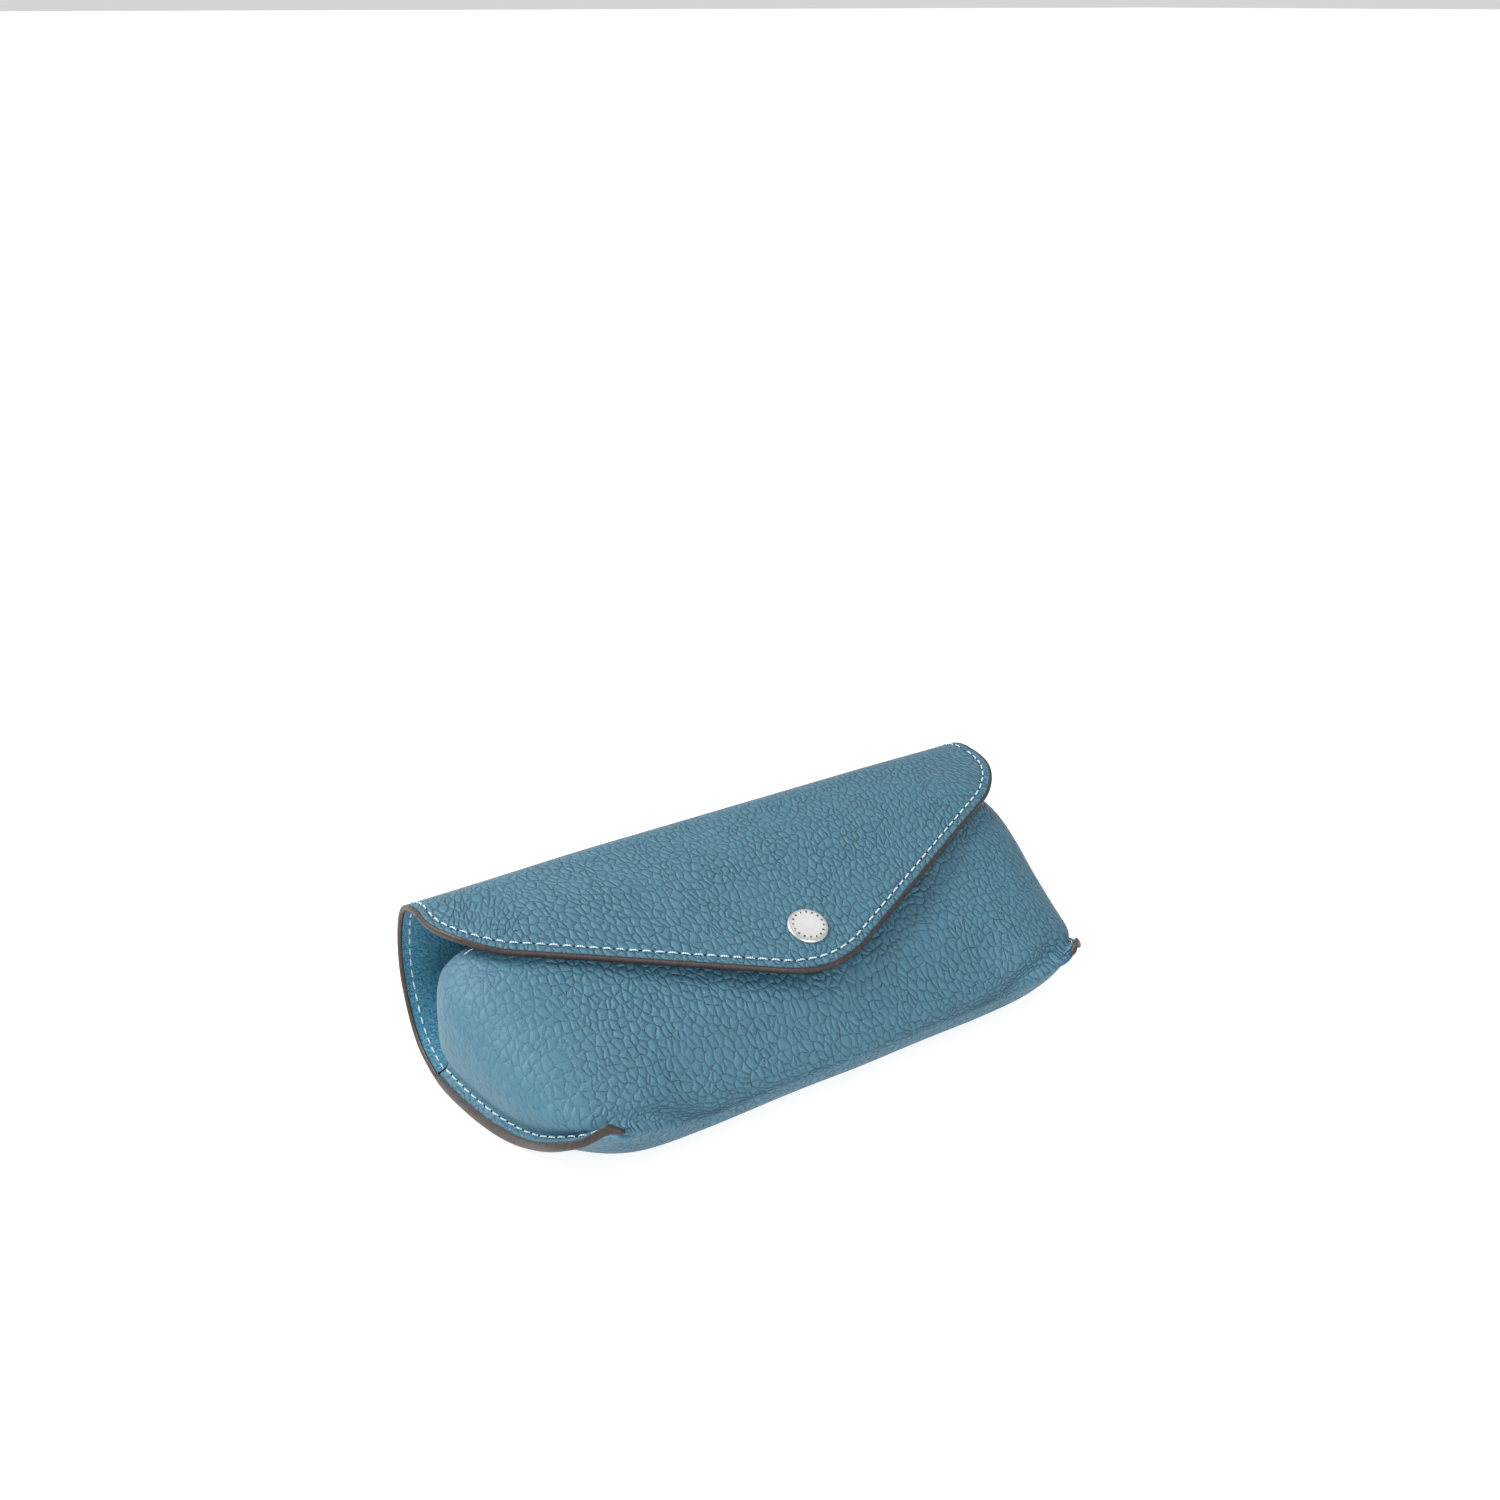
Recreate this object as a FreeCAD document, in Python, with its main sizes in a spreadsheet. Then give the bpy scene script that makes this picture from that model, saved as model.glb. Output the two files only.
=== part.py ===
"""Soft pouch glasses case: a lined leather strip folded into a pocket, with a flap and one snap.

Millimetres, +Z up.  The case lies on its back with the flap on top: X runs along its length
with the plane of symmetry at x = 0, -Y is the rounded front fold and +Y the fold of the flap.
The origin is on the surface it rests on, below the middle of the case.
"""
import FreeCAD, Part
import Sketcher
import math
import os

Vector = FreeCAD.Vector
os.makedirs("parts", exist_ok=True)
doc = FreeCAD.newDocument("glasses_case")

# ------------------------------------------------------------------ driving dimensions

SIZES = [
    ("leather_thick", 1.1, "grained leather"),
    ("lining_thick", 0.6, "suede lining"),
    ("paint_thick", 0.3, "edge paint on the cut edges"),
    ("glue_gap", 0.04, "clearance between glued layers"),
    ("thread_dia", 0.5, "sewing thread"),
    ("stitch_pitch", 3.0, "from one stitch to the next"),
    ("stitch_dash", 2.1, "visible length of one stitch"),
    ("stitch_inset", 2.6, "stitch line to cut edge"),
    ("seam_inset", 1.9, "the same on the doubled seams"),
    ("mouth_half", 83.6, "half width at the mouth corners"),
    ("fold_half", 80.4, "half width at the fold of the flap"),
    ("nose_half", 65.5, "half width at the front fold"),
    ("nose_front", 36.0, "front fold, in front of the origin"),
    ("mouth_back", 17.0, "mouth edge, behind the origin"),
    ("mouth_height", 38.9, "top of the mouth edge"),
    ("rear_centre", 18.5, "centre of the round back, behind the origin"),
    ("rear_radius", 24.5, "round back"),
    ("fold_turn", 20.0, "angle where the round back meets the tighter fold"),
    ("fold_radius", 14.0, "fold of the flap"),
    ("hinge_turn", 55.0, "angle on the fold where the flap turns"),
    ("flap_flat", 9.0, "level stretch of the flap behind its bend"),
    ("flap_bend", 30.0, "radius of the bend across the flap"),
    ("flap_slope", 21.0, "slope of the front of the flap"),
    ("flap_tip", 22.5, "tip of the flap, in front of the origin"),
    ("tip_radius", 28.5, "round of the tip"),
    ("tip_angle", 24.8, "slope of the V edges in plan"),
    ("shoulder_radius", 24.0, "round of the flap's shoulders"),
    ("snap_front", 12.2, "snap, in front of the origin"),
    ("snap_post", 1.2, "radius of the posts through the leather"),
    ("cap_radius", 5.0, "snap cap"),
    ("cap_rim", 0.5, "height of the cap's rim"),
    ("cap_crown", 0.5, "rise of the cap's crown above its rim"),
    ("socket_radius", 4.4, "snap socket"),
    ("socket_height", 2.0, "snap socket"),
    ("socket_bore", 2.35, "radius of the socket's mouth"),
    ("socket_roof", 0.5, "closed end of the socket"),
    ("stud_base_radius", 3.9, "foot of the stud"),
    ("stud_base_height", 0.35, "foot of the stud"),
    ("stud_head", 1.65, "radius of the stud's head"),
    ("stud_neck", 1.35, "radius of the stud's neck"),
    ("stud_height", 1.5, "stud above its foot"),
    ("spring_wire", 0.2, "radius of the spring ring's wire"),
    ("spring_ring", 2.08, "radius of the spring ring, to the wire's middle"),
    ("eyelet_radius", 3.2, "eyelet inside the pocket"),
    ("eyelet_height", 0.4, "eyelet inside the pocket"),
]

sheet = doc.addObject("Spreadsheet::Sheet", "Sizes")
ALIASES = set()


def fill_sheet(lines):
    """Each line (alias, number, note) as the next row of the sheet."""
    for alias, number, note in lines:
        row = len(ALIASES) + 1
        sheet.set(f"A{row}", alias)
        sheet.set(f"B{row}", str(number))
        sheet.set(f"C{row}", note)
        sheet.setAlias(f"B{row}", alias)
        ALIASES.add(alias)
    doc.recompute()


fill_sheet(SIZES)


def size(alias):
    """One driving dimension, read from the sheet."""
    return float(sheet.get(alias))


LEATHER = size("leather_thick")
LAYERS = size("leather_thick") + size("lining_thick")
GAP = size("glue_gap")
CLEAR = 0.08                      # straight stitches stay this far off the curved leather
THREAD = size("thread_dia") / 2
INSET = size("stitch_inset")
SEAM_INSET = size("seam_inset")

parts = []


def keep(label, shape):
    """A sub-part whose free-form shape is made by the functions below."""
    piece = doc.addObject("Part::Feature", label)
    piece.Label = label
    piece.Shape = shape
    piece.Placement = FreeCAD.Placement()
    parts.append(piece)
    return piece


def steps(first, last, count):
    """count numbers from first to last, both included."""
    return [first + (last - first) * k / (count - 1) for k in range(count)]


# ------------------------------------------------------------------ the strip's outer surface

SEAM_HALF_THICK = LAYERS          # half of the doubled seam
FLANGE = 3.4                      # the flat sewn margin of the seam
MOUTH_TUCK = 4.5                  # side walls at the mouth, inside the seam's edge
SEAM = [                          # middle of the seam's cut edge, mouth corner to front fold
    (size("mouth_half"), 17.5, 2.0),
    (83.2, 12.0, 2.1),
    (81.9, 3.0, 2.4),
    (80.1, -6.0, 3.0),
    (77.6, -15.0, 4.4),
    (74.4, -23.3, 7.6),
    (70.8, -30.5, 12.4),
]
EAR = (size("nose_half"), -41.0, 19.2)      # where the front fold runs out at the seam
FRONT_LINE = [                    # the front panel on the plane of symmetry
    (size("mouth_back"), size("mouth_height")),
    (12.0, 38.0),
    (2.0, 34.3),
    (-8.0, 28.7),
    (-18.0, 24.9),
    (-28.0, 20.3),
    (-34.8, 16.6),
]
BACK_LINE = [                     # the same on the underside, front fold to round back
    (-34.4, 4.2),
    (-26.0, -0.3),
    (-15.0, -0.3),
    (-6.0, -0.3),
    (3.0, -0.3),
    (12.0, -0.3),
    (18.5, -0.3),
]
NOSE = (-size("nose_front"), 11.6)


def mirrored(half):
    """A full row of poles from the poles of one side, cut edge first, middle last."""
    left = [Vector(-x, y, z) for x, y, z in half]
    right = [Vector(x, y, z) for x, y, z in reversed(half[:-1])]
    return left + right


def domed_row(edge, middle, wall, crown):
    """Across the front panel: sewn margin, side wall, rounded shoulder, nearly flat top."""
    xe, ye, ze = edge
    yc, zc = middle
    rise = zc - ze
    run = yc - ye
    return mirrored([
        (xe, ye, ze),
        (xe - FLANGE, ye, ze),
        (wall, ye + 0.1 * run, ze + 0.25 * rise),
        (wall + 0.3, ye + 0.3 * run, ze + 0.72 * rise),
        (wall - 5.5, ye + 0.6 * run, ze + crown * rise),
        (0.62 * wall, yc, zc + 0.02 * rise),
        (0.3 * wall, yc, zc),
        (0.0, yc, zc),
    ])


def flat_row(edge, middle):
    """Across the back panel: level, and turned up at the sides to meet the seam."""
    xe, ye, ze = edge
    yc, zc = middle
    rise = ze - zc
    run = ye - yc
    return mirrored([
        (xe, ye, ze),
        (xe - FLANGE, ye, ze),
        (xe - 7.0, yc + 0.7 * run, zc + 0.5 * rise),
        (xe - 13.0, yc + 0.3 * run, zc + 0.1 * rise),
        (0.72 * xe, yc, zc),
        (0.5 * xe, yc, zc),
        (0.25 * xe, yc, zc),
        (0.0, yc, zc),
    ])


def on_circle(centre, radius, degrees):
    turn = math.radians(degrees)
    return centre[0] + radius * math.cos(turn), centre[1] + radius * math.sin(turn)


REAR = (size("rear_centre"), size("rear_radius"))
FOLD_SHIFT = size("rear_radius") - size("fold_radius")
FOLD = on_circle(REAR, FOLD_SHIFT, size("fold_turn"))
FOLD_TOP = (FOLD[0], FOLD[1] + size("fold_radius"))
HINGE = on_circle(FOLD, size("fold_radius"), size("hinge_turn"))


def strip_poles():
    """Rows of poles from the mouth edge over the front fold, the floor and the round back."""
    rows = []
    up = SEAM_HALF_THICK
    for k, ((xe, ye, ze), middle) in enumerate(zip(SEAM, FRONT_LINE, strict=True)):
        tuck = MOUTH_TUCK if k == 0 else 1.6       # the mouth edge draws in a little
        crown = 1.0 if k < 2 else 1.04             # and lies flat under the flap
        rows.append(domed_row((xe, ye, ze + up), middle, xe - tuck, crown))
    xe, ye, ze = EAR
    yc, zc = NOSE
    rows.append(mirrored([
        (xe, ye, ze),
        (xe - FLANGE, ye, ze - 0.2),
        (xe - 9.0, ye + 0.4, zc + 0.75 * (ze - zc)),
        (xe - 18.0, ye + 1.2, zc + 0.45 * (ze - zc)),
        (xe - 28.0, yc, zc + 0.2 * (ze - zc)),
        (0.45 * xe, yc, zc),
        (0.22 * xe, yc, zc),
        (0.0, yc, zc),
    ]))
    for (xe, ye, ze), middle in zip(reversed(SEAM), BACK_LINE, strict=True):
        rows.append(flat_row((xe, ye, max(ze - up, middle[1] + 0.4)), middle))
    outward = 1.035                # poles stand outside the arc that they draw
    first, last = -62.0, size("fold_turn") - 12.0
    for degrees in (first, -38.0, -14.0, last):
        share = (degrees - first) / (last - first)
        half = size("mouth_half") + (size("fold_half") + 0.4 - size("mouth_half")) * share
        place = on_circle(REAR, outward * size("rear_radius"), degrees)
        rows.append(flat_row((half, *place), place))
    place = on_circle(FOLD, 1.03 * size("fold_radius"), 31.0)
    rows.append(flat_row((size("fold_half"), *place), place))
    turn = math.radians(size("hinge_turn"))
    before = 3.6                   # last pole but one, before the hinge along the fold
    place = (HINGE[0] + before * math.sin(turn), HINGE[1] - before * math.cos(turn))
    rows.append(flat_row((size("fold_half"), *place), place))
    rows.append(flat_row((size("fold_half"), *HINGE), HINGE))
    return rows


def clamped(count):
    """Knots and multiplicities of a clamped uniform cubic with count poles."""
    knots = [float(k) for k in range(count - 2)]
    return knots, [4] + [1] * (count - 4) + [4]


def spline_surface(rows):
    surface = Part.BSplineSurface()
    u_knots, u_mults = clamped(len(rows))
    v_knots, v_mults = clamped(len(rows[0]))
    surface.buildFromPolesMultsKnots(rows, u_mults, v_mults, u_knots, v_knots, False, False, 3, 3)
    return surface


POLES = strip_poles()
STRIP = spline_surface(POLES)
U_LAST = float(len(POLES) - 3)
V_LAST = float(len(POLES[0]) - 3)
V_MIDDLE = V_LAST / 2


def front_fold_at():
    """The surface's parameter at the foremost point on the plane of symmetry."""
    places = steps(0.0, U_LAST, 2001)
    return min(places, key=lambda u: STRIP.value(u, V_MIDDLE).y)


def ear_at():
    """The parameter at the foremost point of the cut edge."""
    return min(steps(0.0, U_LAST, 2001), key=lambda u: STRIP.value(u, 0.0).y)


def mouth_corner_at():
    """The parameter on the underside where the mouth corner is sewn."""
    places = steps(U_FOLD, U_LAST, 2001)
    return min(places, key=lambda u: abs(STRIP.value(u, 0.0).y - SEAM[0][1]) + STRIP.value(u, 0.0).z)


def inward(u, v):
    """Unit normal of the strip, towards the lining."""
    normal = STRIP.normal(u, v)
    return normal * SIGN


SIGN = 1.0
if STRIP.normal(U_LAST, V_MIDDLE).z > 0:
    SIGN = -1.0
U_FOLD = front_fold_at()
U_EAR = ear_at()
U_CORNER = mouth_corner_at()


def sewn_partner(u):
    """The parameter of the other layer where both are sewn together at the side."""
    if u < U_EAR:
        return U_CORNER + (U_EAR - U_CORNER) * u / U_EAR
    return U_EAR * (u - U_CORNER) / (U_EAR - U_CORNER)


def squeeze(u, v):
    """Share of the full thickness: the folded sheet is pinched flat towards its ears."""
    if u >= U_CORNER:
        return 1.0
    v_edge = 0.0 if v < V_MIDDLE else V_LAST
    edge = STRIP.value(u, v_edge)
    gap = (edge - STRIP.value(sewn_partner(u), v_edge)).Length
    side = (edge - STRIP.value(u, v)).Length
    room = 0.5 * gap + 0.3 * side
    return min(1.0, max(0.35, room / LAYERS))


def middles(count):
    """The parameter over which each pole of a clamped uniform cubic has its hold."""
    knots = [0.0] * 3 + steps(0.0, count - 3.0, count - 2) + [count - 3.0] * 3
    return [sum(knots[k + 1:k + 4]) / 3 for k in range(count)]


def sheet_at(depth):
    """The surface at a depth below the strip's outer surface, made by moving its poles."""
    us, vs = middles(len(POLES)), middles(len(POLES[0]))
    rows = []
    for u, row in zip(us, POLES, strict=True):
        rows.append([pole + inward(u, v) * depth * squeeze(u, v)
                     for v, pole in zip(vs, row, strict=True)])
    return spline_surface(rows)


# ------------------------------------------------------------------ building solids

def solid_of(faces):
    shell = Part.makeShell(faces)
    shell.sewShape()
    solid = Part.makeSolid(Part.Shell(shell.Faces))
    if solid.Volume < 0:
        solid.reverse()
    return solid


def wall_between(mine, other):
    """The ruled face between two edges that run the same way."""
    return Part.makeLoft([Part.Wire(mine), Part.Wire(other)], False, True).Faces[0]


def borders(patch):
    """The four border curves of a surface patch, as edges."""
    u_first, u_last, v_first, v_last = patch.bounds()
    curves = [patch.uIso(u_first), patch.uIso(u_last), patch.vIso(v_first), patch.vIso(v_last)]
    return [curve.toShape() for curve in curves]


def layer_solid(u_range, depths):
    """One layer of the strip between two depths below its outer surface."""
    patches = []
    for depth in depths:
        patch = sheet_at(depth)
        patch.segment(*u_range, 0.0, V_LAST)
        patches.append(patch)
    faces = [patch.toShape() for patch in patches]
    for mine, other in zip(borders(patches[0]), borders(patches[1]), strict=True):
        faces.append(wall_between(mine, other))
    return solid_of(faces)


def bar_solid(rails):
    """A long bar with four sides, its corners running along four rails of points."""
    edges = []
    for rail in rails:
        curve = Part.BSplineCurve()
        curve.interpolate(rail)
        edges.append(curve.toShape())
    faces = [wall_between(edges[k], edges[(k + 1) % 4]) for k in range(4)]
    for end in (0, -1):
        ring = [rail[end] for rail in rails]
        for corners in ((ring[0], ring[1], ring[2]), (ring[0], ring[2], ring[3])):
            faces.append(Part.Face(Part.makePolygon([*corners, corners[0]])))
    return solid_of(faces)


def stitch(place, along, up, lift):
    """One visible stitch: a short length of thread lying on the surface."""
    length = size("stitch_dash")
    start = place + up * (lift + THREAD + CLEAR) - along * (length / 2)
    return Part.makeCylinder(THREAD, length, start, along)


def spaced(points, pitch):
    """Places and directions at an even pitch along a dense line of points."""
    marks = []
    travelled = 0.0
    wanted = pitch / 2
    for a, b in zip(points, points[1:]):
        gap = (b - a).Length
        while travelled + gap >= wanted:
            share = (wanted - travelled) / gap
            marks.append((a + (b - a) * share, (b - a).normalize()))
            wanted += pitch
        travelled += gap
    return marks


# ------------------------------------------------------------------ the snap's axis

SLOPE = math.radians(size("flap_slope"))
BEND_START = (FOLD_TOP[0] - size("flap_flat"), FOLD_TOP[1])
BEND_CENTRE = (BEND_START[0], BEND_START[1] - size("flap_bend"))
BEND_END = on_circle(BEND_CENTRE, size("flap_bend"), 90 + size("flap_slope"))


def flap_height(y, depth=0.0):
    """Height of the flap at y, depth below its outer surface."""
    centre_y, centre_z = BEND_CENTRE
    radius = size("flap_bend") - depth
    if y > FOLD[0]:
        radius = size("fold_radius") - depth
        return FOLD[1] + math.sqrt(max(radius * radius - (y - FOLD[0]) ** 2, 0.0))
    if y >= centre_y:
        return FOLD_TOP[1] - depth
    reach = centre_y - y
    if reach <= radius * math.sin(SLOPE):
        return centre_z + math.sqrt(radius * radius - reach * reach)
    drop = (reach - radius * math.sin(SLOPE)) * math.tan(SLOPE)
    return centre_z + radius * math.cos(SLOPE) - drop


SNAP_UP = Vector(0, -math.sin(SLOPE), math.cos(SLOPE))
SNAP_TOP = Vector(0, -size("snap_front"), flap_height(-size("snap_front")))
SNAP_TILT = FreeCAD.Rotation(Vector(1, 0, 0), size("flap_slope"))


def snap_place(height):
    """A placement on the snap's axis, height above the flap's outer surface."""
    return FreeCAD.Placement(SNAP_TOP + SNAP_UP * height, SNAP_TILT)


def post_hole(radius):
    """A drill along the snap's axis, to clear the posts."""
    reach = 12.0
    return Part.makeCylinder(radius, 2 * reach, SNAP_TOP - SNAP_UP * reach, SNAP_UP)


HOLE = post_hole(size("snap_post") + 0.05)

# ------------------------------------------------------------------ the pocket's layers

FLOOR_BOX = Part.makeBox(400, 400, 50, Vector(-200, -200, -50))
LAYERS_OF = {"leather": (0.0, LEATHER - GAP), "lining": (LEATHER, LAYERS - GAP)}
PANELS = {"front_panel": (0.0, U_FOLD), "back_panel": (U_FOLD, U_LAST)}

for panel, u_range in PANELS.items():
    for layer, depths in LAYERS_OF.items():
        body = layer_solid(u_range, depths)
        if panel == "front_panel":
            body = body.cut(HOLE)
        elif layer == "leather":
            body = body.cut(FLOOR_BOX)
        keep(f"{panel}_{layer}", body.Solids[0])

# ------------------------------------------------------------------ edges and seams of the pocket

PAINT = size("paint_thick")
SIDES = {"left": 0.0, "right": V_LAST}


INNER_SHEETS = [sheet_at(depth) for depth in steps(0.0, LAYERS, 5)]


def edge_frame(u, v):
    """The cut edge at u: its place, the way out of the sheet and the way to the lining."""
    toward = 0.02 if v == 0.0 else -0.02
    out = (STRIP.value(u, v) - STRIP.value(u, v + toward)).normalize()
    return STRIP.value(u, v), out, inward(u, v)


def edge_bar(u_range, v, count=41):
    """Paint along one cut edge of the sheet."""
    rails = [[], [], [], []]
    for u in steps(*u_range, count):
        place, out, inner = edge_frame(u, v)
        corners = ((GAP, 0), (GAP, LAYERS), (PAINT, LAYERS), (PAINT, 0))
        for rail, (away, depth) in zip(rails, corners, strict=True):
            rail.append(place + out * away + inner * depth)
    return bar_solid(rails)


def seam_bar(v, count=41):
    """Paint over both layers of the doubled seam, mouth corner to front fold."""
    rails = [[], [], [], []]
    short = 0.6                    # ends just before the layers run together
    spare = 0.4                    # stands off more towards the front fold, where they twist
    for share in steps(0.0, 1.0, count):
        u_front = (U_EAR - short) * share
        u_back = U_CORNER + (U_EAR + short - U_CORNER) * share
        front, out, _ = edge_frame(u_front, v)
        back, _, _ = edge_frame(u_back, v)
        walls = [layer.value(u, v) for u in (u_front, u_back) for layer in INNER_SHEETS]
        near = max((point - front).dot(out) for point in [*walls, back]) + GAP + spare * share ** 2
        far = near + PAINT - GAP
        across = back - front
        across -= out * across.dot(out)
        for rail, (share_across, away) in zip(
            rails, ((0, near), (1, near), (1, far), (0, far)), strict=True
        ):
            rail.append(front + across * share_across + out * away)
    return bar_solid(rails)


def mouth_bar(count=73):
    """Paint along the mouth edge of the front panel."""
    rails = [[], [], [], []]
    bare = 0.5                     # the corners are under the seam's paint
    deep = LAYERS - 0.15
    for v in steps(bare, V_LAST - bare, count):
        place = STRIP.value(0.0, v)
        out = (place - STRIP.value(0.02, v)).normalize()
        inner = inward(0.0, v)
        near = max((layer.value(0.0, v) - place).dot(out) for layer in INNER_SHEETS) + 2 * GAP
        far = near + PAINT - GAP
        corners = ((near, 0), (near, deep), (far, deep), (far, 0))
        for rail, (away, depth) in zip(rails, corners, strict=True):
            rail.append(place + out * away + inner * depth)
    return bar_solid(rails)


def inset_from_edge(u, v, distance):
    """The parameter across the strip at a distance from its cut edge."""
    toward = 0.01 if v == 0.0 else -0.01
    run = 0.0
    here = STRIP.value(u, v)
    while run < distance:
        v += toward
        there = STRIP.value(u, v)
        run += (there - here).Length
        here = there
    return v


def mouth_stitches():
    """Stitches along the mouth edge of the front panel, on its outer face."""
    line = []
    ups = []
    shoulder = 3.3                 # the sewing starts on the shoulders, under the flap
    for v in steps(shoulder, V_LAST - shoulder, 241):
        u = 0.0
        while (STRIP.value(u, v) - STRIP.value(0.0, v)).Length < INSET:
            u += 0.01
        line.append(STRIP.value(u, v))
        ups.append(inward(u, v) * -1.0)
    dashes = []
    for place, along in spaced(line, size("stitch_pitch")):
        nearest = min(range(len(line)), key=lambda k: (line[k] - place).Length)
        dashes.append(stitch(place, along, ups[nearest], 0.0))
    return Part.makeCompound(dashes)


OFF_FLOOR = 2.2                   # lower stitches would be pressed into the leather


def stitches_along(u_range, v_edge, faces, inset):
    """Stitches beside a cut edge of the strip, on the outer face, the lining or both."""
    places = steps(*u_range, 121)
    track = [(u, inset_from_edge(u, v_edge, inset)) for u in places]
    line = [STRIP.value(u, v) for u, v in track]
    ups = [inward(u, v) * -1.0 for u, v in track]
    dashes = []
    for place, along in spaced(line, size("stitch_pitch")):
        nearest = min(range(len(line)), key=lambda k: (line[k] - place).Length)
        up = ups[nearest]
        if "outer" in faces and place.z > OFF_FLOOR:
            dashes.append(stitch(place, along, up, 0.0))
        if "lining" in faces:
            dashes.append(stitch(place, along, up * -1.0, LAYERS))
    return Part.makeCompound(dashes)


SEAM_SEWN = (0.15, U_EAR - 0.8)    # the lines of stitches start and stop short of the corners
BACK_SEWN = (U_CORNER + 0.35, U_LAST - 0.35)
for side, v_edge in SIDES.items():
    keep(f"seam_edge_{side}", seam_bar(v_edge))
    keep(f"back_edge_{side}", edge_bar((U_CORNER + 0.1, U_LAST), v_edge))
    keep(f"seam_stitches_{side}", stitches_along(SEAM_SEWN, v_edge, ("outer",), SEAM_INSET))
    keep(f"back_edge_stitches_{side}",
         stitches_along(BACK_SEWN, v_edge, ("outer", "lining"), INSET))
keep("mouth_edge", mouth_bar())
keep("mouth_stitches", mouth_stitches())

# ------------------------------------------------------------------ the flap

TIP_ANGLE = math.radians(size("tip_angle"))
HINGE_BARE = 1.6                  # no stitch this near the hinge


def flap_outline(grow=0.0):
    """The flap's outline in plan, grown outwards, from the left hinge corner to the right."""
    r_tip = size("tip_radius") + grow
    r_side = size("shoulder_radius") + grow
    tip_y = -size("flap_tip") + size("tip_radius")
    side_x = size("fold_half") - size("shoulder_radius")
    run = side_x - size("tip_radius") * math.sin(TIP_ANGLE)
    low = tip_y - size("tip_radius") * math.cos(TIP_ANGLE)
    side_y = low + run * math.tan(TIP_ANGLE) + size("shoulder_radius") / math.cos(TIP_ANGLE)

    def arc(cx, cy, radius, first, last):
        turns = (first, (first + last) / 2, last)
        return [Vector(cx + radius * math.cos(t), cy + radius * math.sin(t), 0) for t in turns]

    shoulder = arc(side_x, side_y, r_side, 0.0, TIP_ANGLE - math.pi / 2)
    tip = arc(0, tip_y, r_tip, TIP_ANGLE - math.pi / 2, -TIP_ANGLE - math.pi / 2)
    left = [Vector(-p.x, p.y, 0) for p in reversed(shoulder)]
    hinge_y = HINGE[0] + 4
    return [
        Part.LineSegment(Vector(side_x + r_side, hinge_y, 0), shoulder[0]),
        Part.Arc(*shoulder),
        Part.LineSegment(shoulder[2], tip[0]),
        Part.Arc(*tip),
        Part.LineSegment(tip[2], left[0]),
        Part.Arc(*left),
        Part.LineSegment(left[2], Vector(-side_x - r_side, hinge_y, 0)),
    ]


def outline_prism(grow=0.0):
    curves = flap_outline(grow)
    closing = Part.LineSegment(curves[-1].EndPoint, curves[0].StartPoint)
    wire = Part.Wire([c.toShape() for c in [*curves, closing]])
    return Part.Face(wire).extrude(Vector(0, 0, 80))


def flap_curves(depth):
    """The flap's profile at a depth: fold, level stretch, bend and slope, from the hinge."""
    reach = size("flap_tip") + 4
    across = size("fold_radius") - depth
    bend = size("flap_bend") - depth
    slit = 0.1
    first = math.radians(size("hinge_turn")) + slit / across

    def on_fold(turn):
        return Vector(0, FOLD[0] + across * math.cos(turn), FOLD[1] + across * math.sin(turn))

    def on_bend(turn):
        return Vector(0, BEND_CENTRE[0] - bend * math.sin(turn), BEND_CENTRE[1] + bend * math.cos(turn))

    upright = math.pi / 2
    top = on_fold(upright)
    end = Vector(0, -reach, flap_height(-reach, depth))
    return [
        Part.Arc(on_fold(first), on_fold((first + upright) / 2), top),
        Part.LineSegment(top, on_bend(0)),
        Part.Arc(on_bend(0), on_bend(SLOPE / 2), on_bend(SLOPE)),
        Part.LineSegment(on_bend(SLOPE), end),
    ]


def flap_band(outer, inner):
    """A layer of the flap between two depths, wider than the flap."""
    half = size("fold_half") + 10
    outer_curves, inner_curves = flap_curves(outer), flap_curves(inner)
    ends = [
        Part.LineSegment(outer_curves[0].StartPoint, inner_curves[0].StartPoint),
        Part.LineSegment(outer_curves[-1].EndPoint, inner_curves[-1].EndPoint),
    ]
    curves = [*outer_curves, *inner_curves, *ends]
    edges = Part.sortEdges([c.toShape() for c in curves])[0]
    face = Part.Face(Part.Wire(edges))
    face.translate(Vector(-half, 0, 0))
    return face.extrude(Vector(2 * half, 0, 0))


prism = outline_prism()
keep("flap_leather", flap_band(0, LEATHER - GAP).common(prism).cut(HOLE).Solids[0])
keep("flap_lining", flap_band(LEATHER, LAYERS).common(prism).cut(HOLE).Solids[0])
ring = outline_prism(PAINT).cut(outline_prism(GAP))
keep("flap_edge", flap_band(0, LAYERS).common(ring).Solids[0])


def flap_stitches(underside):
    """Stitches all round the flap on one of its faces."""
    points = []
    for curve in flap_outline(-INSET):
        points += curve.toShape().discretize(60)
    depth = LAYERS if underside else 0.0
    last_y = HINGE[0] - HINGE_BARE
    lifted = [Vector(p.x, p.y, flap_height(p.y, depth)) for p in points if p.y < last_y]
    line = [p for p, q in zip(lifted, lifted[1:] + [lifted[0]]) if (p - q).Length > 1e-6]
    dashes = []
    for place, along in spaced(line, size("stitch_pitch")):
        step = 0.05
        rise = flap_height(place.y + step) - flap_height(place.y - step)
        up = Vector(0, -rise, 2 * step).normalize()
        dashes.append(stitch(place, along, up * (-1.0 if underside else 1.0), 0.0))
    return Part.makeCompound(dashes)


keep("flap_stitches_top", flap_stitches(False))
keep("flap_stitches_under", flap_stitches(True))

# ------------------------------------------------------------------ the snap

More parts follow.
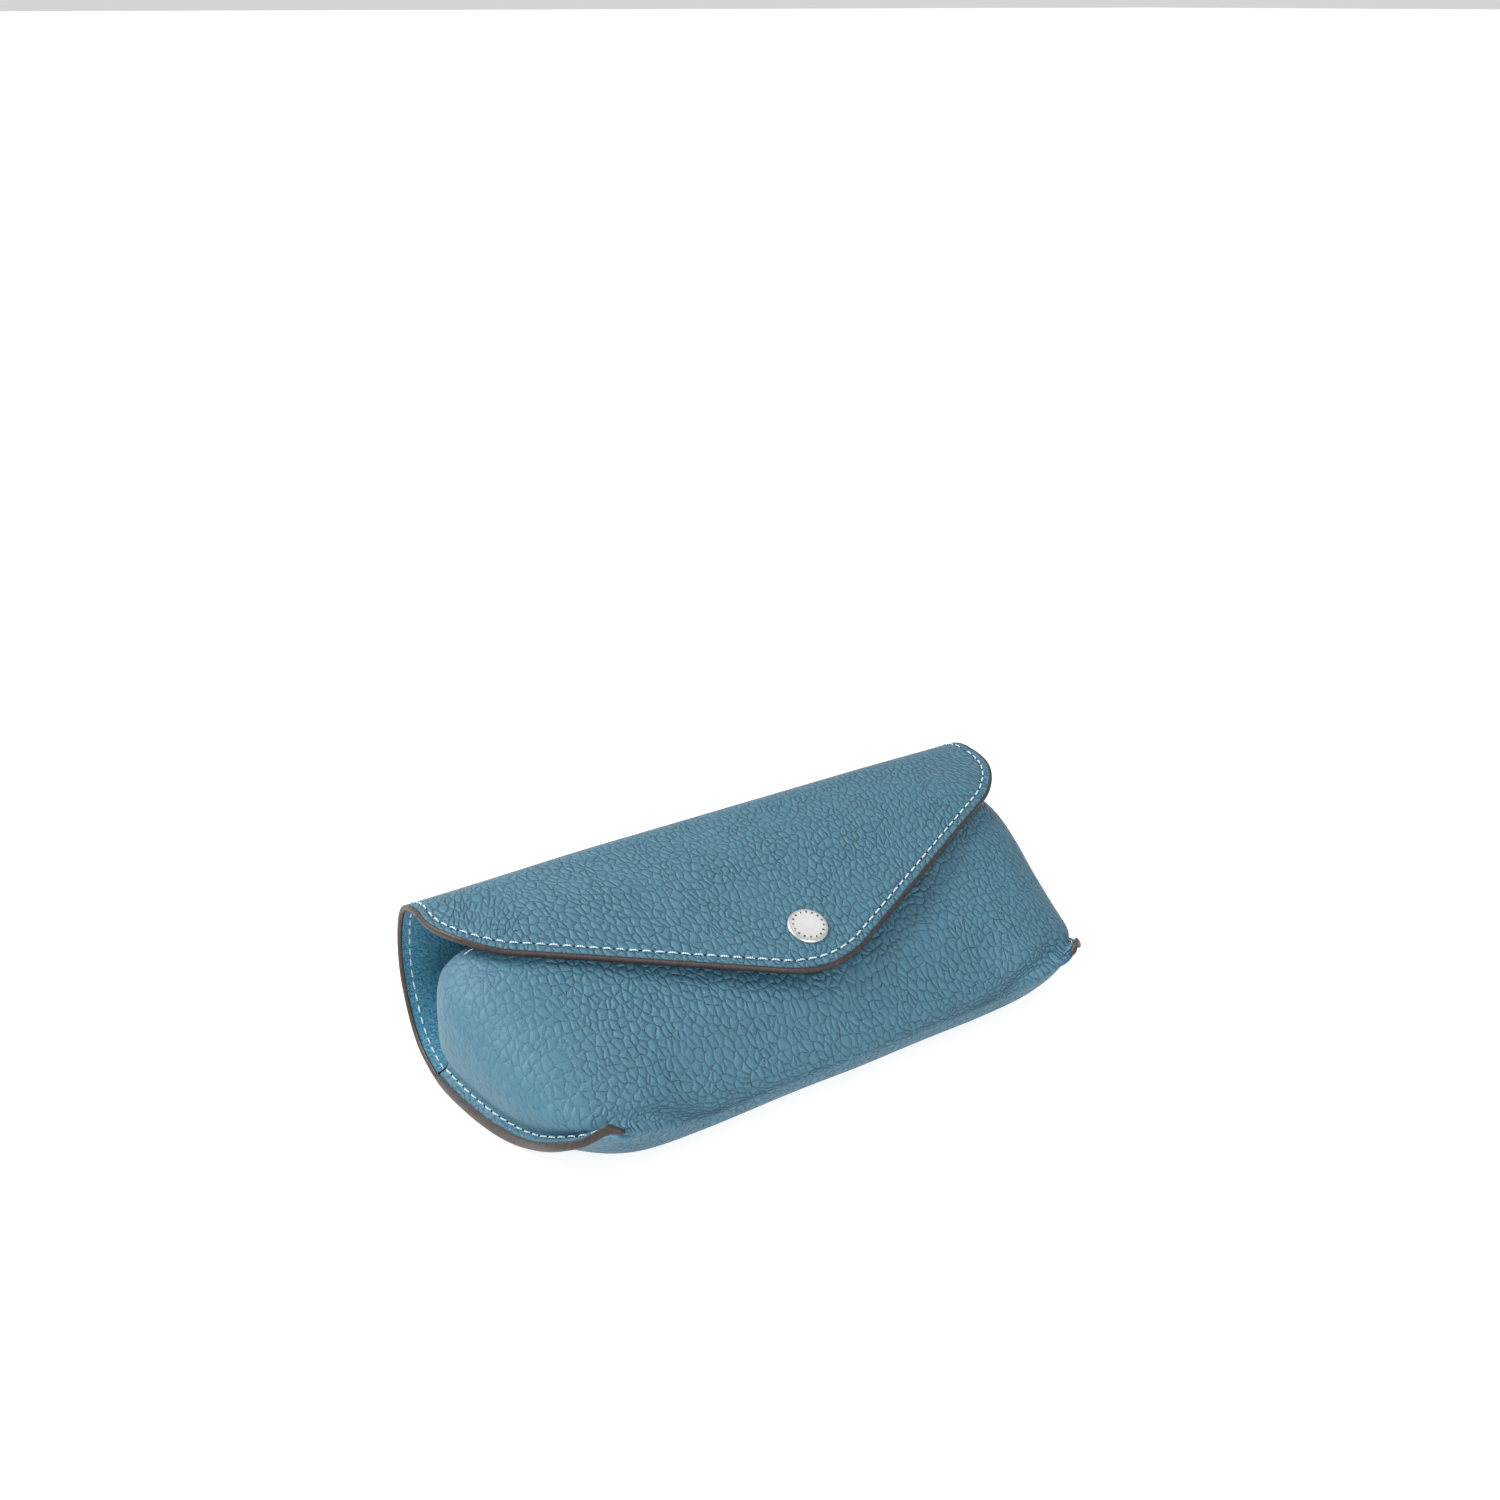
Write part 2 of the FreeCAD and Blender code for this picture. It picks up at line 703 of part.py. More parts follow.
def revolved(label, outline, height):
    """A turned piece on the snap's axis: a PartDesign body with one revolved sketch.

    outline lists (radius, level) as expressions in the sheet's aliases; level 0 is height
    above the flap's outer surface.
    """
    body = doc.addObject("PartDesign::Body", label)
    body.Label = label
    sketch = body.newObject("Sketcher::SketchObject", f"{label}_profile")
    plane = next(f for f in body.Origin.OriginFeatures if f.Role == "XZ_Plane")
    sketch.AttachmentSupport = [(plane, "")]
    sketch.MapMode = "FlatFace"
    values = [tuple(evaluated(text) for text in pair) for pair in outline]
    count = len(values)
    for k, (radius, level) in enumerate(values):
        after = values[(k + 1) % count]
        sketch.addGeometry(Part.LineSegment(Vector(radius, level, 0), Vector(*after, 0)), False)
    for k in range(count):
        sketch.addConstraint(Sketcher.Constraint("Coincident", k, 2, (k + 1) % count, 1))
    for k, (pair, point) in enumerate(zip(outline, values, strict=True)):
        for kind, text, number in zip(("DistanceX", "DistanceY"), pair, point, strict=True):
            index = sketch.addConstraint(Sketcher.Constraint(kind, -1, 1, k, 1, number))
            sketch.setExpression(f"Constraints[{index}]", expression(text))
    doc.recompute()
    turned = body.newObject("PartDesign::Revolution", f"{label}_turned")
    turned.Profile = sketch
    turned.ReferenceAxis = (sketch, ["V_Axis"])
    turned.Angle = 360
    body.Placement = snap_place(height)
    doc.recompute()
    parts.append(body)
    return body


def expression(text):
    """The text with each alias made a reference to the sheet."""
    words = []
    for word in text.split():
        words.append(f"Sizes.{word}" if word in ALIASES else word)
    return " ".join(words)


def evaluated(text):
    total = 0.0
    sign = 1.0
    for word in text.split():
        if word == "+":
            sign = 1.0
        elif word == "-":
            sign = -1.0
        else:
            total += sign * (size(word) if word in ALIASES else float(word))
    return total


# Levels on the snap's axis, in the sheet too, so that the turned pieces are bound to them.
lining_level = -(LAYERS + 0.1)
roof_level = lining_level - size("socket_roof")
socket_level = lining_level - size("socket_height")
foot_level = socket_level - 0.15
panel_level = foot_level - size("stud_base_height")
head_level = foot_level + size("stud_height")
eyelet_level = panel_level - LAYERS - 0.36       # the panel slopes a little more than the snap
fill_sheet([
    ("lining_level", lining_level, "top of the socket, under the flap's lining"),
    ("roof_level", roof_level, "inside of the socket's closed end"),
    ("socket_level", socket_level, "mouth of the socket"),
    ("foot_level", foot_level, "top of the stud's foot"),
    ("panel_level", panel_level, "underside of the stud's foot"),
    ("head_level", head_level, "top of the stud"),
    ("eyelet_level", eyelet_level, "top of the eyelet, under the pocket's lining"),
])

revolved("snap_cap", [
    ("0", "cap_rim + cap_crown"),
    ("2.4", "cap_rim + cap_crown - 0.1"),
    ("cap_radius - 0.8", "cap_rim + 0.15"),
    ("cap_radius - 0.2", "cap_rim - 0.05"),
    ("cap_radius", "cap_rim - 0.25"),
    ("cap_radius", "0.05"),
    ("snap_post", "0.05"),
    ("snap_post", "roof_level"),
    ("0", "roof_level"),
], 0.0)
revolved("snap_socket", [
    ("snap_post + 0.03", "lining_level"),
    ("socket_radius - 0.3", "lining_level"),
    ("socket_radius", "lining_level - 0.3"),
    ("socket_radius", "socket_level + 0.5"),
    ("socket_radius - 0.5", "socket_level"),
    ("socket_bore", "socket_level"),
    ("socket_bore", "roof_level"),
    ("snap_post + 0.03", "roof_level"),
], 0.0)
revolved("snap_stud", [
    ("0", "head_level"),
    ("stud_head - 0.5", "head_level"),
    ("stud_head", "head_level - 0.4"),
    ("stud_head", "head_level - 0.6"),
    ("stud_neck", "head_level - 1"),
    ("stud_neck", "foot_level"),
    ("stud_base_radius - 0.2", "foot_level"),
    ("stud_base_radius", "foot_level - 0.2"),
    ("stud_base_radius", "panel_level"),
    ("snap_post", "panel_level"),
    ("snap_post", "eyelet_level - eyelet_height"),
    ("0", "eyelet_level - eyelet_height"),
], 0.0)
revolved("snap_eyelet", [
    ("snap_post + 0.03", "eyelet_level"),
    ("eyelet_radius", "eyelet_level"),
    ("eyelet_radius", "eyelet_level - eyelet_height + 0.15"),
    ("eyelet_radius - 0.3", "eyelet_level - eyelet_height"),
    ("snap_post + 0.03", "eyelet_level - eyelet_height"),
], 0.0)

spring = doc.addObject("Part::Torus", "snap_spring")
spring.Label = "snap_spring"
spring.setExpression("Radius1", "Sizes.spring_ring")
spring.setExpression("Radius2", "Sizes.spring_wire")
spring.Placement = snap_place(socket_level + 0.5)
parts.append(spring)

# ------------------------------------------------------------------ checks and export

doc.recompute()
for item in doc.Objects:
    assert "Invalid" not in item.State and "Error" not in item.State, item.Label
for piece in parts:
    shape = piece.Shape
    assert not shape.isNull() and shape.isValid() and shape.Solids, piece.Label
    assert shape.Volume > 0, piece.Label
for piece in parts:
    piece.Shape.exportStep(f"parts/{piece.Label}.step")
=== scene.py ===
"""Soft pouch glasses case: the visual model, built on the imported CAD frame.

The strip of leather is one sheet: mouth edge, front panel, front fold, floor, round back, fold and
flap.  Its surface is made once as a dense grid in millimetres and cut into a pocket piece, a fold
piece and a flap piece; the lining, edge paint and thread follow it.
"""

import math

import bpy
import numpy as np
from mathutils import Matrix, Vector


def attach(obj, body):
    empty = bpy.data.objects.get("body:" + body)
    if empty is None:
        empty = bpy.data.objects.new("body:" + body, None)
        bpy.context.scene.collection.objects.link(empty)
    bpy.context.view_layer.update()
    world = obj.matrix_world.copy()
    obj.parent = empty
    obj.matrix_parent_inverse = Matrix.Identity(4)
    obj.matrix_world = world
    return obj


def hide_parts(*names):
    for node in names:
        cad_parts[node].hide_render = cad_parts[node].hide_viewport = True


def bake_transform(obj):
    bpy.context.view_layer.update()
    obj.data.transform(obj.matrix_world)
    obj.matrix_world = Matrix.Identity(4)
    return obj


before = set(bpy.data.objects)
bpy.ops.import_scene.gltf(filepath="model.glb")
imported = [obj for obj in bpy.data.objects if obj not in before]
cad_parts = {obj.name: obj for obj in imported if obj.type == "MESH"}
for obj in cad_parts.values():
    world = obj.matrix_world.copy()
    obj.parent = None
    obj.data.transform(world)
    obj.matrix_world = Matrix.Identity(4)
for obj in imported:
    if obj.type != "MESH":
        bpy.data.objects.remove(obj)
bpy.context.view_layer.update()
MM = 0.001
rng = np.random.default_rng(7)

# ------------------------------------------------------------------ sizes, as in the CAD (mm)

LEATHER, LAYERS = 1.1, 1.7        # the leather alone, and with its lining
INSET, SEAM_INSET = 2.2, 2.1      # from a cut edge to its row of stitches
PITCH, DASH, THREAD = 3.0, 2.25, 0.19   # from stitch to stitch, a stitch's length, thread radius
MOUTH_HALF, FOLD_HALF = 83.6, 80.4      # half the strip's width at the mouth and at the fold
REAR, REAR_R = np.array([18.5, 24.5]), 24.5
FOLD_R, FOLD_TURN, HINGE_TURN = 14.0, math.radians(20), math.radians(55)
FLAP_FLAT, BEND_R, SLOPE = 9.0, 30.0, math.radians(21)
FLAP_TIP, TIP_R, TIP_ANGLE, SHOULDER_R = 22.5, 28.5, math.radians(24.8), 24.0
SNAP_FRONT = 12.2

FOLD = REAR + (REAR_R - FOLD_R) * np.array([math.cos(FOLD_TURN), math.sin(FOLD_TURN)])
FOLD_TOP = FOLD + (0.0, FOLD_R)
HINGE = FOLD + FOLD_R * np.array([math.cos(HINGE_TURN), math.sin(HINGE_TURN)])
BEND = FOLD_TOP - (FLAP_FLAT, BEND_R)

SEAM = [(MOUTH_HALF, 17.5, 2.0), (83.2, 12.0, 2.1), (81.9, 3.0, 2.4), (80.1, -6.0, 3.0),
        (77.6, -15.0, 4.4), (74.4, -23.3, 7.6), (70.8, -30.5, 12.4)]
FRONT_LINE = [(17.0, 38.9), (12.0, 38.0), (2.0, 34.3), (-8.0, 28.7), (-18.0, 24.9),
              (-28.0, 20.3), (-34.8, 16.6)]
BACK_LINE = [(-34.4, 4.2), (-26.0, 0.0), (-15.0, 0.0), (-6.0, 0.0), (3.0, 0.0), (12.0, 0.0),
             (18.5, 0.0)]
EAR, NOSE = (65.5, -41.0, 19.2), (-36.0, 11.6)
REAR_DEGREES, FOLD_DEGREES = (-62.0, -38.0, -14.0, 8.0), 31.0   # rows round the back and the fold
FLANGE = 3.4                      # flat margin outside the dome, where the seam is sewn
MOUTH_TUCK, SIDE_TUCK = 4.5, 1.6  # how far the dome's side wall stands in from the cut edge
CROWN = 1.04                      # the dome's shoulder over its middle, below the mouth rows
SPREAD, FOLD_SPREAD = 1.035, 1.03 # poles of a round stretch lie outside its circle by this
HINGE_RUN = 3.6                   # length of the last straight run of poles before the hinge
TIP_SPAN, TIP_RISE = 0.62, 0.15   # the seam's paint runs on past the corner, in strip units
TIP_HALF, TIP_RINGS = 1.2, 14     # half its height there, and its cross-sections


# ------------------------------------------------------------------ the strip as a spline surface

def mirrored(half):
    left = [(-x, y, z) for x, y, z in half]
    return left + [(x, y, z) for x, y, z in reversed(half[:-1])]


def domed_row(edge, middle, wall, crown):
    (xe, ye, ze), (yc, zc) = edge, middle
    rise, run = zc - ze, yc - ye
    return mirrored([
        (xe, ye, ze), (xe - FLANGE, ye, ze), (wall, ye + 0.1 * run, ze + 0.25 * rise),
        (wall + 0.3, ye + 0.3 * run, ze + 0.72 * rise),
        (wall - 5.5, ye + 0.6 * run, ze + crown * rise),
        (0.62 * wall, yc, zc + 0.02 * rise), (0.3 * wall, yc, zc), (0.0, yc, zc)])


def nose_row(edge, middle):
    (xe, ye, ze), (yc, zc) = edge, middle
    rise = ze - zc
    return mirrored([
        (xe, ye, ze), (xe - FLANGE, ye, ze - 0.2), (xe - 9.0, ye + 0.4, zc + 0.75 * rise),
        (xe - 18.0, ye + 1.2, zc + 0.45 * rise), (xe - 28.0, yc, zc + 0.2 * rise),
        (0.45 * xe, yc, zc), (0.22 * xe, yc, zc), (0.0, yc, zc)])


def flat_row(edge, middle):
    (xe, ye, ze), (yc, zc) = edge, middle
    rise, run = ze - zc, ye - yc
    return mirrored([
        (xe, ye, ze), (xe - FLANGE, ye, ze), (xe - 7.0, yc + 0.7 * run, zc + 0.5 * rise),
        (xe - 13.0, yc + 0.3 * run, zc + 0.1 * rise), (0.72 * xe, yc, zc), (0.5 * xe, yc, zc),
        (0.25 * xe, yc, zc), (0.0, yc, zc)])


def on_circle(centre, radius, degrees):
    turn = math.radians(degrees)
    return centre[0] + radius * math.cos(turn), centre[1] + radius * math.sin(turn)


def strip_poles():
    rows = []
    for k, ((xe, ye, ze), middle) in enumerate(zip(SEAM, FRONT_LINE, strict=True)):
        tuck = MOUTH_TUCK if k == 0 else SIDE_TUCK
        crown = 1.0 if k < 2 else CROWN
        rows.append(domed_row((xe, ye, ze + LAYERS), middle, xe - tuck, crown))
    rows.append(nose_row(EAR, NOSE))
    for (xe, ye, ze), middle in zip(reversed(SEAM), BACK_LINE, strict=True):
        rows.append(flat_row((xe, ye, max(ze - LAYERS, middle[1] + 0.4)), middle))
    first, last = REAR_DEGREES[0], REAR_DEGREES[-1]
    for degrees in REAR_DEGREES:
        share = (degrees - first) / (last - first)
        half = MOUTH_HALF + (FOLD_HALF + 0.4 - MOUTH_HALF) * share
        place = on_circle(REAR, SPREAD * REAR_R, degrees)
        rows.append(flat_row((half, *place), place))
    place = on_circle(FOLD, FOLD_SPREAD * FOLD_R, FOLD_DEGREES)
    rows.append(flat_row((FOLD_HALF, *place), place))
    place = (HINGE[0] + HINGE_RUN * math.sin(HINGE_TURN),
             HINGE[1] - HINGE_RUN * math.cos(HINGE_TURN))
    rows.append(flat_row((FOLD_HALF, *place), place))
    rows.append(flat_row((FOLD_HALF, *HINGE), HINGE))
    return np.array(rows, float)


def basis(count, places):
    """Clamped uniform cubic B-spline weights, one row for each place."""
    last = count - 3
    knots = np.concatenate([[0.0] * 3, np.arange(last + 1.0), [float(last)] * 3])
    t = np.clip(np.asarray(places, float), 0.0, last - 1e-9)[:, None]
    weights = ((knots[:-1] <= t) & (t < knots[1:])).astype(float)
    for degree in (1, 2, 3):
        size = len(knots) - 1 - degree
        low, high = knots[:size], knots[degree:degree + size]
        low2, high2 = knots[1:size + 1], knots[degree + 1:degree + 1 + size]
        left = np.divide(t - low, high - low, where=high > low, out=np.zeros((len(t), size)))
        right = np.divide(high2 - t, high2 - low2, where=high2 > low2, out=np.zeros((len(t), size)))
        weights = left * weights[:, :size] + right * weights[:, 1:size + 1]
    return weights


POLES = strip_poles()
U_LAST, V_LAST = POLES.shape[0] - 3.0, POLES.shape[1] - 3.0


def strip(us, vs):
    return np.einsum("ua,abk,vb->uvk", basis(POLES.shape[0], us), POLES, basis(POLES.shape[1], vs))


def lengths(points):
    """Distance travelled along the first axis of an array of points."""
    gaps = np.linalg.norm(np.diff(points, axis=0), axis=-1)
    return np.concatenate([np.zeros_like(gaps[:1]), np.cumsum(gaps, axis=0)])


def evenly(points, places, spacing):
    """Values of a parameter that give even spacing along a line of points."""
    run = lengths(points)
    return np.interp(np.linspace(0.0, run[-1], int(run[-1] / spacing) + 1), run, places)


def unit(vectors):
    return vectors / np.maximum(np.linalg.norm(vectors, axis=-1, keepdims=True), 1e-12)


def grid_normals(points):
    """Outward unit normals of a grid of points; rows run round the strip, columns across."""
    return unit(np.cross(np.gradient(points, axis=0), np.gradient(points, axis=1)))


def smooth(low, high, value):
    t = np.clip((value - low) / (high - low), 0.0, 1.0)
    return t * t * (3 - 2 * t)


# ------------------------------------------------------------------ the flap's profile and outline

def flap_height(y, depth=0.0):
    y = np.asarray(y, float)
    fold = FOLD[1] + np.sqrt(np.maximum((FOLD_R - depth) ** 2 - (y - FOLD[0]) ** 2, 0.0))
    radius = BEND_R - depth
    reach = BEND[0] - y
    bend = BEND[1] + np.sqrt(np.maximum(radius ** 2 - reach ** 2, 0.0))
    start = radius * math.sin(SLOPE)
    slope = BEND[1] + radius * math.cos(SLOPE) - (reach - start) * math.tan(SLOPE)
    low = np.where(reach <= start, bend, slope)
    return np.where(y > FOLD[0], fold, np.where(reach <= 0, FOLD_TOP[1] - depth, low))


def flap_normal(y):
    rise = (flap_height(y + 0.02) - flap_height(y - 0.02)) / 0.04
    return unit(np.stack([np.zeros_like(rise), -rise, np.ones_like(rise)], axis=-1))


def flap_outline(grow=0.0, spacing=0.25):
    """The flap's outline in plan from the left side at SPLIT_Y round the tip to the right."""
    side_x = FOLD_HALF - SHOULDER_R
    tip_y = TIP_R - FLAP_TIP
    low = tip_y - TIP_R * math.cos(TIP_ANGLE)
    run = side_x - TIP_R * math.sin(TIP_ANGLE)
    side_y = low + run * math.tan(TIP_ANGLE) + SHOULDER_R / math.cos(TIP_ANGLE)
    turns = np.linspace(0.0, TIP_ANGLE - math.pi / 2, 60)
    shoulder = np.stack([side_x + (SHOULDER_R + grow) * np.cos(turns),
                         side_y + (SHOULDER_R + grow) * np.sin(turns)], axis=1)
    turns = np.linspace(TIP_ANGLE, -TIP_ANGLE, 60) - math.pi / 2
    tip = np.stack([(TIP_R + grow) * np.cos(turns), tip_y + (TIP_R + grow) * np.sin(turns)], axis=1)
    corner = np.array([[FOLD_HALF + grow, SPLIT_Y]])
    right = np.concatenate([corner, shoulder])
    line = np.concatenate([right, tip, (right * (-1, 1))[::-1]])[::-1]
    even = evenly(line, np.arange(len(line)), spacing)
    return np.stack([np.interp(even, np.arange(len(line)), line[:, k]) for k in (0, 1)], axis=1)


SPLIT_Y = 28.0                    # the flap piece starts here, at the end of the fold

# ------------------------------------------------------------------ the whole strip as one grid

BLEND_DEGREES = -6.0              # the fold piece starts here on the round back
REAR_U = 15.0                     # strip rows past this are on the round back or the fold
FAR = 9.0                         # a gap wide enough for any layer

dense = np.linspace(0.0, U_LAST, 2001)
middle = strip(dense, [V_LAST / 2])[:, 0]
edge = strip(dense, [0.0])[:, 0]
U_EAR = dense[np.argmin(edge[:, 1])]
ear_point = strip([U_EAR], [V_LAST])[0, 0]
after = dense > U_EAR
U_CORNER = dense[after][np.argmin(np.abs(edge[after][:, 1] - SEAM[0][1]) + edge[after][:, 2])]
BLEND_START = np.array(on_circle(REAR, REAR_R, BLEND_DEGREES))
rear = dense > REAR_U
U_SPLIT = dense[rear][np.argmin(np.linalg.norm(middle[rear][:, 1:] - BLEND_START, axis=1))]

SPACING = 0.62
across = strip([3.0], np.linspace(0, V_LAST, 2001))[0]
VS = evenly(across, np.linspace(0, V_LAST, 2001), SPACING)
pocket_us = evenly(middle[dense <= U_SPLIT], dense[dense <= U_SPLIT], SPACING)
rear_us = evenly(middle[dense >= U_SPLIT], dense[dense >= U_SPLIT], SPACING)
POCKET_ROWS = len(pocket_us)
US = np.concatenate([pocket_us, rear_us[1:]])
sheet = strip(US, VS)
turns = np.linspace(HINGE_TURN, math.pi / 2, 15)[1:]
profile = np.concatenate([FOLD + FOLD_R * np.stack([np.cos(turns), np.sin(turns)], axis=1),
                          [[SPLIT_Y, FOLD_TOP[1]]]])
over = np.zeros((len(profile), len(VS), 3))
over[:, :, 0] = sheet[-1, :, 0]
over[:, :, 1:] = profile[:, None]
sheet = np.concatenate([sheet, over])
normals = grid_normals(sheet)

half_run = lengths(np.swapaxes(sheet, 0, 1)).T
side = np.minimum(half_run, half_run[:, -1:] - half_run)          # to the nearer cut edge
along_x = half_run - half_run[:, -1:] / 2
along_y = lengths(sheet)                                          # from the mouth edge
row_u = np.concatenate([US, np.full(len(profile), U_LAST)])


def room_for_layers():
    """The most depth at each grid point before the folded sheet would meet itself at the ear."""
    edge_line = strip(US, [0.0])[:, 0]
    front_share = np.clip(US / U_EAR, 0, 1)
    back_share = np.clip((US - U_CORNER) / (U_EAR - U_CORNER), 0, 1)
    share = np.where(US < U_EAR, front_share, back_share)
    partner = np.where(US < U_EAR, U_CORNER + (U_EAR - U_CORNER) * share, U_EAR * share)
    gap = np.linalg.norm(edge_line - strip(partner, [0.0])[:, 0], axis=1)
    gap = np.where(US > U_CORNER, FAR, gap)
    gap = np.concatenate([gap, np.full(len(profile), FAR)])
    return 0.47 * gap[:, None] + 0.3 * side


def ripple(x, y, seed):
    """Gentle unevenness of a soft sheet, between about -1 and 1."""
    pick = np.random.default_rng(seed)
    total = np.zeros_like(x)
    for _ in range(9):
        angle = pick.uniform(0, math.pi)
        wave = pick.uniform(0.10, 0.28)
        total += np.sin(wave * (x * math.cos(angle) + y * math.sin(angle)) + pick.uniform(0, 6.28))
    return total / 4.0


RIM = 0.7                         # radius of the leather's rolled rim
GROOVE_DEEP, GROOVE_WIDE = 0.2, 0.6     # the groove that the thread pulls in


def skin_depth(from_edge):
    """Depth of the leather's outer face below the sheet, near a cut edge."""
    gone = np.clip(RIM - from_edge, 0.0, RIM)
    roll = RIM - np.sqrt(RIM ** 2 - gone ** 2)
    return roll + GROOVE_DEEP * np.exp(-((from_edge - INSET) / GROOVE_WIDE) ** 2)


LEFT_TOP_DROP, RIGHT_TOP_DROP = 1.3, 0.4   # the flap's two ends sink by this
LEFT_BACK_PUSH, LEFT_WALL_PUSH = 1.2, 2.8  # the left end is rounder behind and outside
RIGHT_TUCK = 3.2                  # the right end is narrower
FRONT_DROP = 3.2                  # the front panel falls lower to the front fold
EAR_TUCK, EAR_BACK, EAR_LIFT, EAR_REACH = 2.0, 1.2, 1.0, 3.6    # the blunted front corners
LOBE_LIFT, LOBE_REACH = 1.6, 9.0  # the right one turns up


def slump(points):
    """The soft case's own slump, the same for everything at a place."""
    x, y, z = np.moveaxis(np.array(points, float), -1, 0)
    left, right = smooth(30.0, 84.0, -x), smooth(45.0, 80.0, x)
    top = smooth(33.0, 42.0, z) * smooth(2.0, 26.0, y)
    back = smooth(26.0, 40.0, y) * smooth(4.0, 18.0, z) * (1 - smooth(30.0, 42.0, z))
    panel = smooth(9.0, 24.0, z) * (1 - smooth(34.0, 39.0, z)) * (1 - smooth(14.0, 20.0, y))
    z = z - LEFT_TOP_DROP * left * top - RIGHT_TOP_DROP * right * top
    y = y + LEFT_BACK_PUSH * left * back
    wall = smooth(4.0, 13.0, z) * (1 - smooth(31.0, 38.0, z)) * (1 - smooth(17.0, 23.0, y))
    x = x - RIGHT_TUCK * right * panel - LEFT_WALL_PUSH * wall * smooth(60.0, 80.0, -x)
    front = smooth(20.0, 31.0, -y) * smooth(8.0, 15.0, z) * (1 - smooth(38.0, 56.0, np.abs(x)))
    away = (np.abs(x) - ear_point[0]) ** 2 + (y - ear_point[1]) ** 2 + (z - ear_point[2]) ** 2
    ear = np.exp(-away / EAR_REACH ** 2)
    lobe = np.exp(-away / LOBE_REACH ** 2) * smooth(58.0, 68.0, x)
    x, y = x - EAR_TUCK * ear * np.sign(x), y + EAR_BACK * ear
    z = z - FRONT_DROP * front + EAR_LIFT * ear + LOBE_LIFT * lobe
    return np.stack([x, y, z], axis=-1)


# ------------------------------------------------------------------ meshes

def add_mesh(name, verts, faces, material, attributes=(), crisp=None):
    mesh = bpy.data.meshes.new(name)
    mesh.from_pydata((slump(verts) * MM).tolist(), [], faces)
    mesh.validate()
    for key, kind, values in attributes:
        layer = mesh.attributes.new(key, kind, "POINT")
        field = "vector" if kind == "FLOAT_VECTOR" else "value"
        layer.data.foreach_set(field, np.asarray(values, np.float32).ravel())
    mesh.materials.append(material)
    mesh.shade_smooth()
    if crisp is not None:
        mesh.set_sharp_from_angle(angle=math.radians(crisp))
    piece = bpy.data.objects.new(name, mesh)
    bpy.context.scene.collection.objects.link(piece)
    return piece


def grid_faces(rows, columns, flip=False, closed=False):
    """Quads of a grid whose points are stored row by row."""
    index = np.arange(rows * columns).reshape(rows, columns)
    if closed:
        index = np.concatenate([index, index[:, :1]], axis=1)
    quads = np.stack([index[:-1, :-1], index[:-1, 1:], index[1:, 1:], index[1:, :-1]], axis=-1)
    quads = quads.reshape(-1, 4)
    return (quads[:, ::-1] if flip else quads).tolist()


def layer(name, points, outward, depth, wall_depth, walls, coords, calm, material, flip):
    """One face of the sheet at a depth below its outer surface.

    walls says, for the first and last row and the first and last column, whether a wall runs from
    the face to wall_depth there: a copy of that row or column at the other depth.
    """
    wide = walls + ((0, 0),)
    (top, bottom), (left, right) = walls
    rows, columns = depth.shape[0] + top + bottom, depth.shape[1] + left + right
    walled = np.pad(np.broadcast_to(wall_depth, depth.shape), walls, "edge")
    walled[top:rows - bottom, left:columns - right] = depth
    points, outward = np.pad(points, wide, "edge"), np.pad(outward, wide, "edge")
    coords, calm = np.pad(coords, wide, "edge"), np.pad(calm, walls, "edge")
    verts = (points - outward * walled[..., None]).reshape(-1, 3)
    return add_mesh(name, verts, grid_faces(rows, columns, flip), material, [
        ("sheet", "FLOAT_VECTOR", coords.reshape(-1, 3)), ("calm", "FLOAT", calm)])


BEAD_SIDES = 18
INNER_BULGE = 0.35                # the bead's flatter inner side, as a share of its outer bulge


def bead(name, centre, half, out, bulge, material):
    """A rounded band of paint along a cut edge; half points from its middle to its upper rim."""
    turns = np.linspace(0, 2 * math.pi, BEAD_SIDES, endpoint=False)
    ring = []
    for turn in turns:
        push = math.sin(turn)
        reach = bulge * push if push > 0 else INNER_BULGE * bulge * push
        ring.append(centre + half * math.cos(turn) + out * reach)
    rings = np.stack(ring, axis=1)
    count = len(rings)
    faces = grid_faces(count, BEAD_SIDES, closed=True)
    for first in (0, (count - 1) * BEAD_SIDES):
        faces.append([first + k for k in range(BEAD_SIDES)])
    coords = np.zeros((count, BEAD_SIDES, 3))
    coords[..., 0] = lengths(centre)[:, None]
    coords[..., 1] = turns * 0.5
    return add_mesh(name, rings.reshape(-1, 3), faces, material,
                    [("sheet", "FLOAT_VECTOR", coords.reshape(-1, 3))])


def spaced(line, ups, start):
    """Stitch places, directions and normals at an even pitch along a line."""
    run = lengths(line)
    wanted = np.arange(start, run[-1] - 0.4 * start, PITCH)
    look = 0.4

    def at(values, distance):
        return np.stack([np.interp(distance, run, values[:, k]) for k in range(3)], axis=1)

    ahead = at(line, wanted + look) - at(line, wanted - look)
    return at(line, wanted), unit(ahead), unit(at(ups, wanted))


STITCH_RINGS, STITCH_SIDES, HOLE_SIDES = 9, 10, 8
STITCH_TILT = 0.035               # how unevenly the stitches lie
STITCH_RISE, STITCH_DIP = 0.1, 0.5      # the middle stands this far up, the ends go this far down
HOLE_LONG, HOLE_WIDE, HOLE_DEEP = 0.34, 0.22, 0.1
COLOUR_STEP = 0.37                # moves each stitch to its own part of the thread's pattern


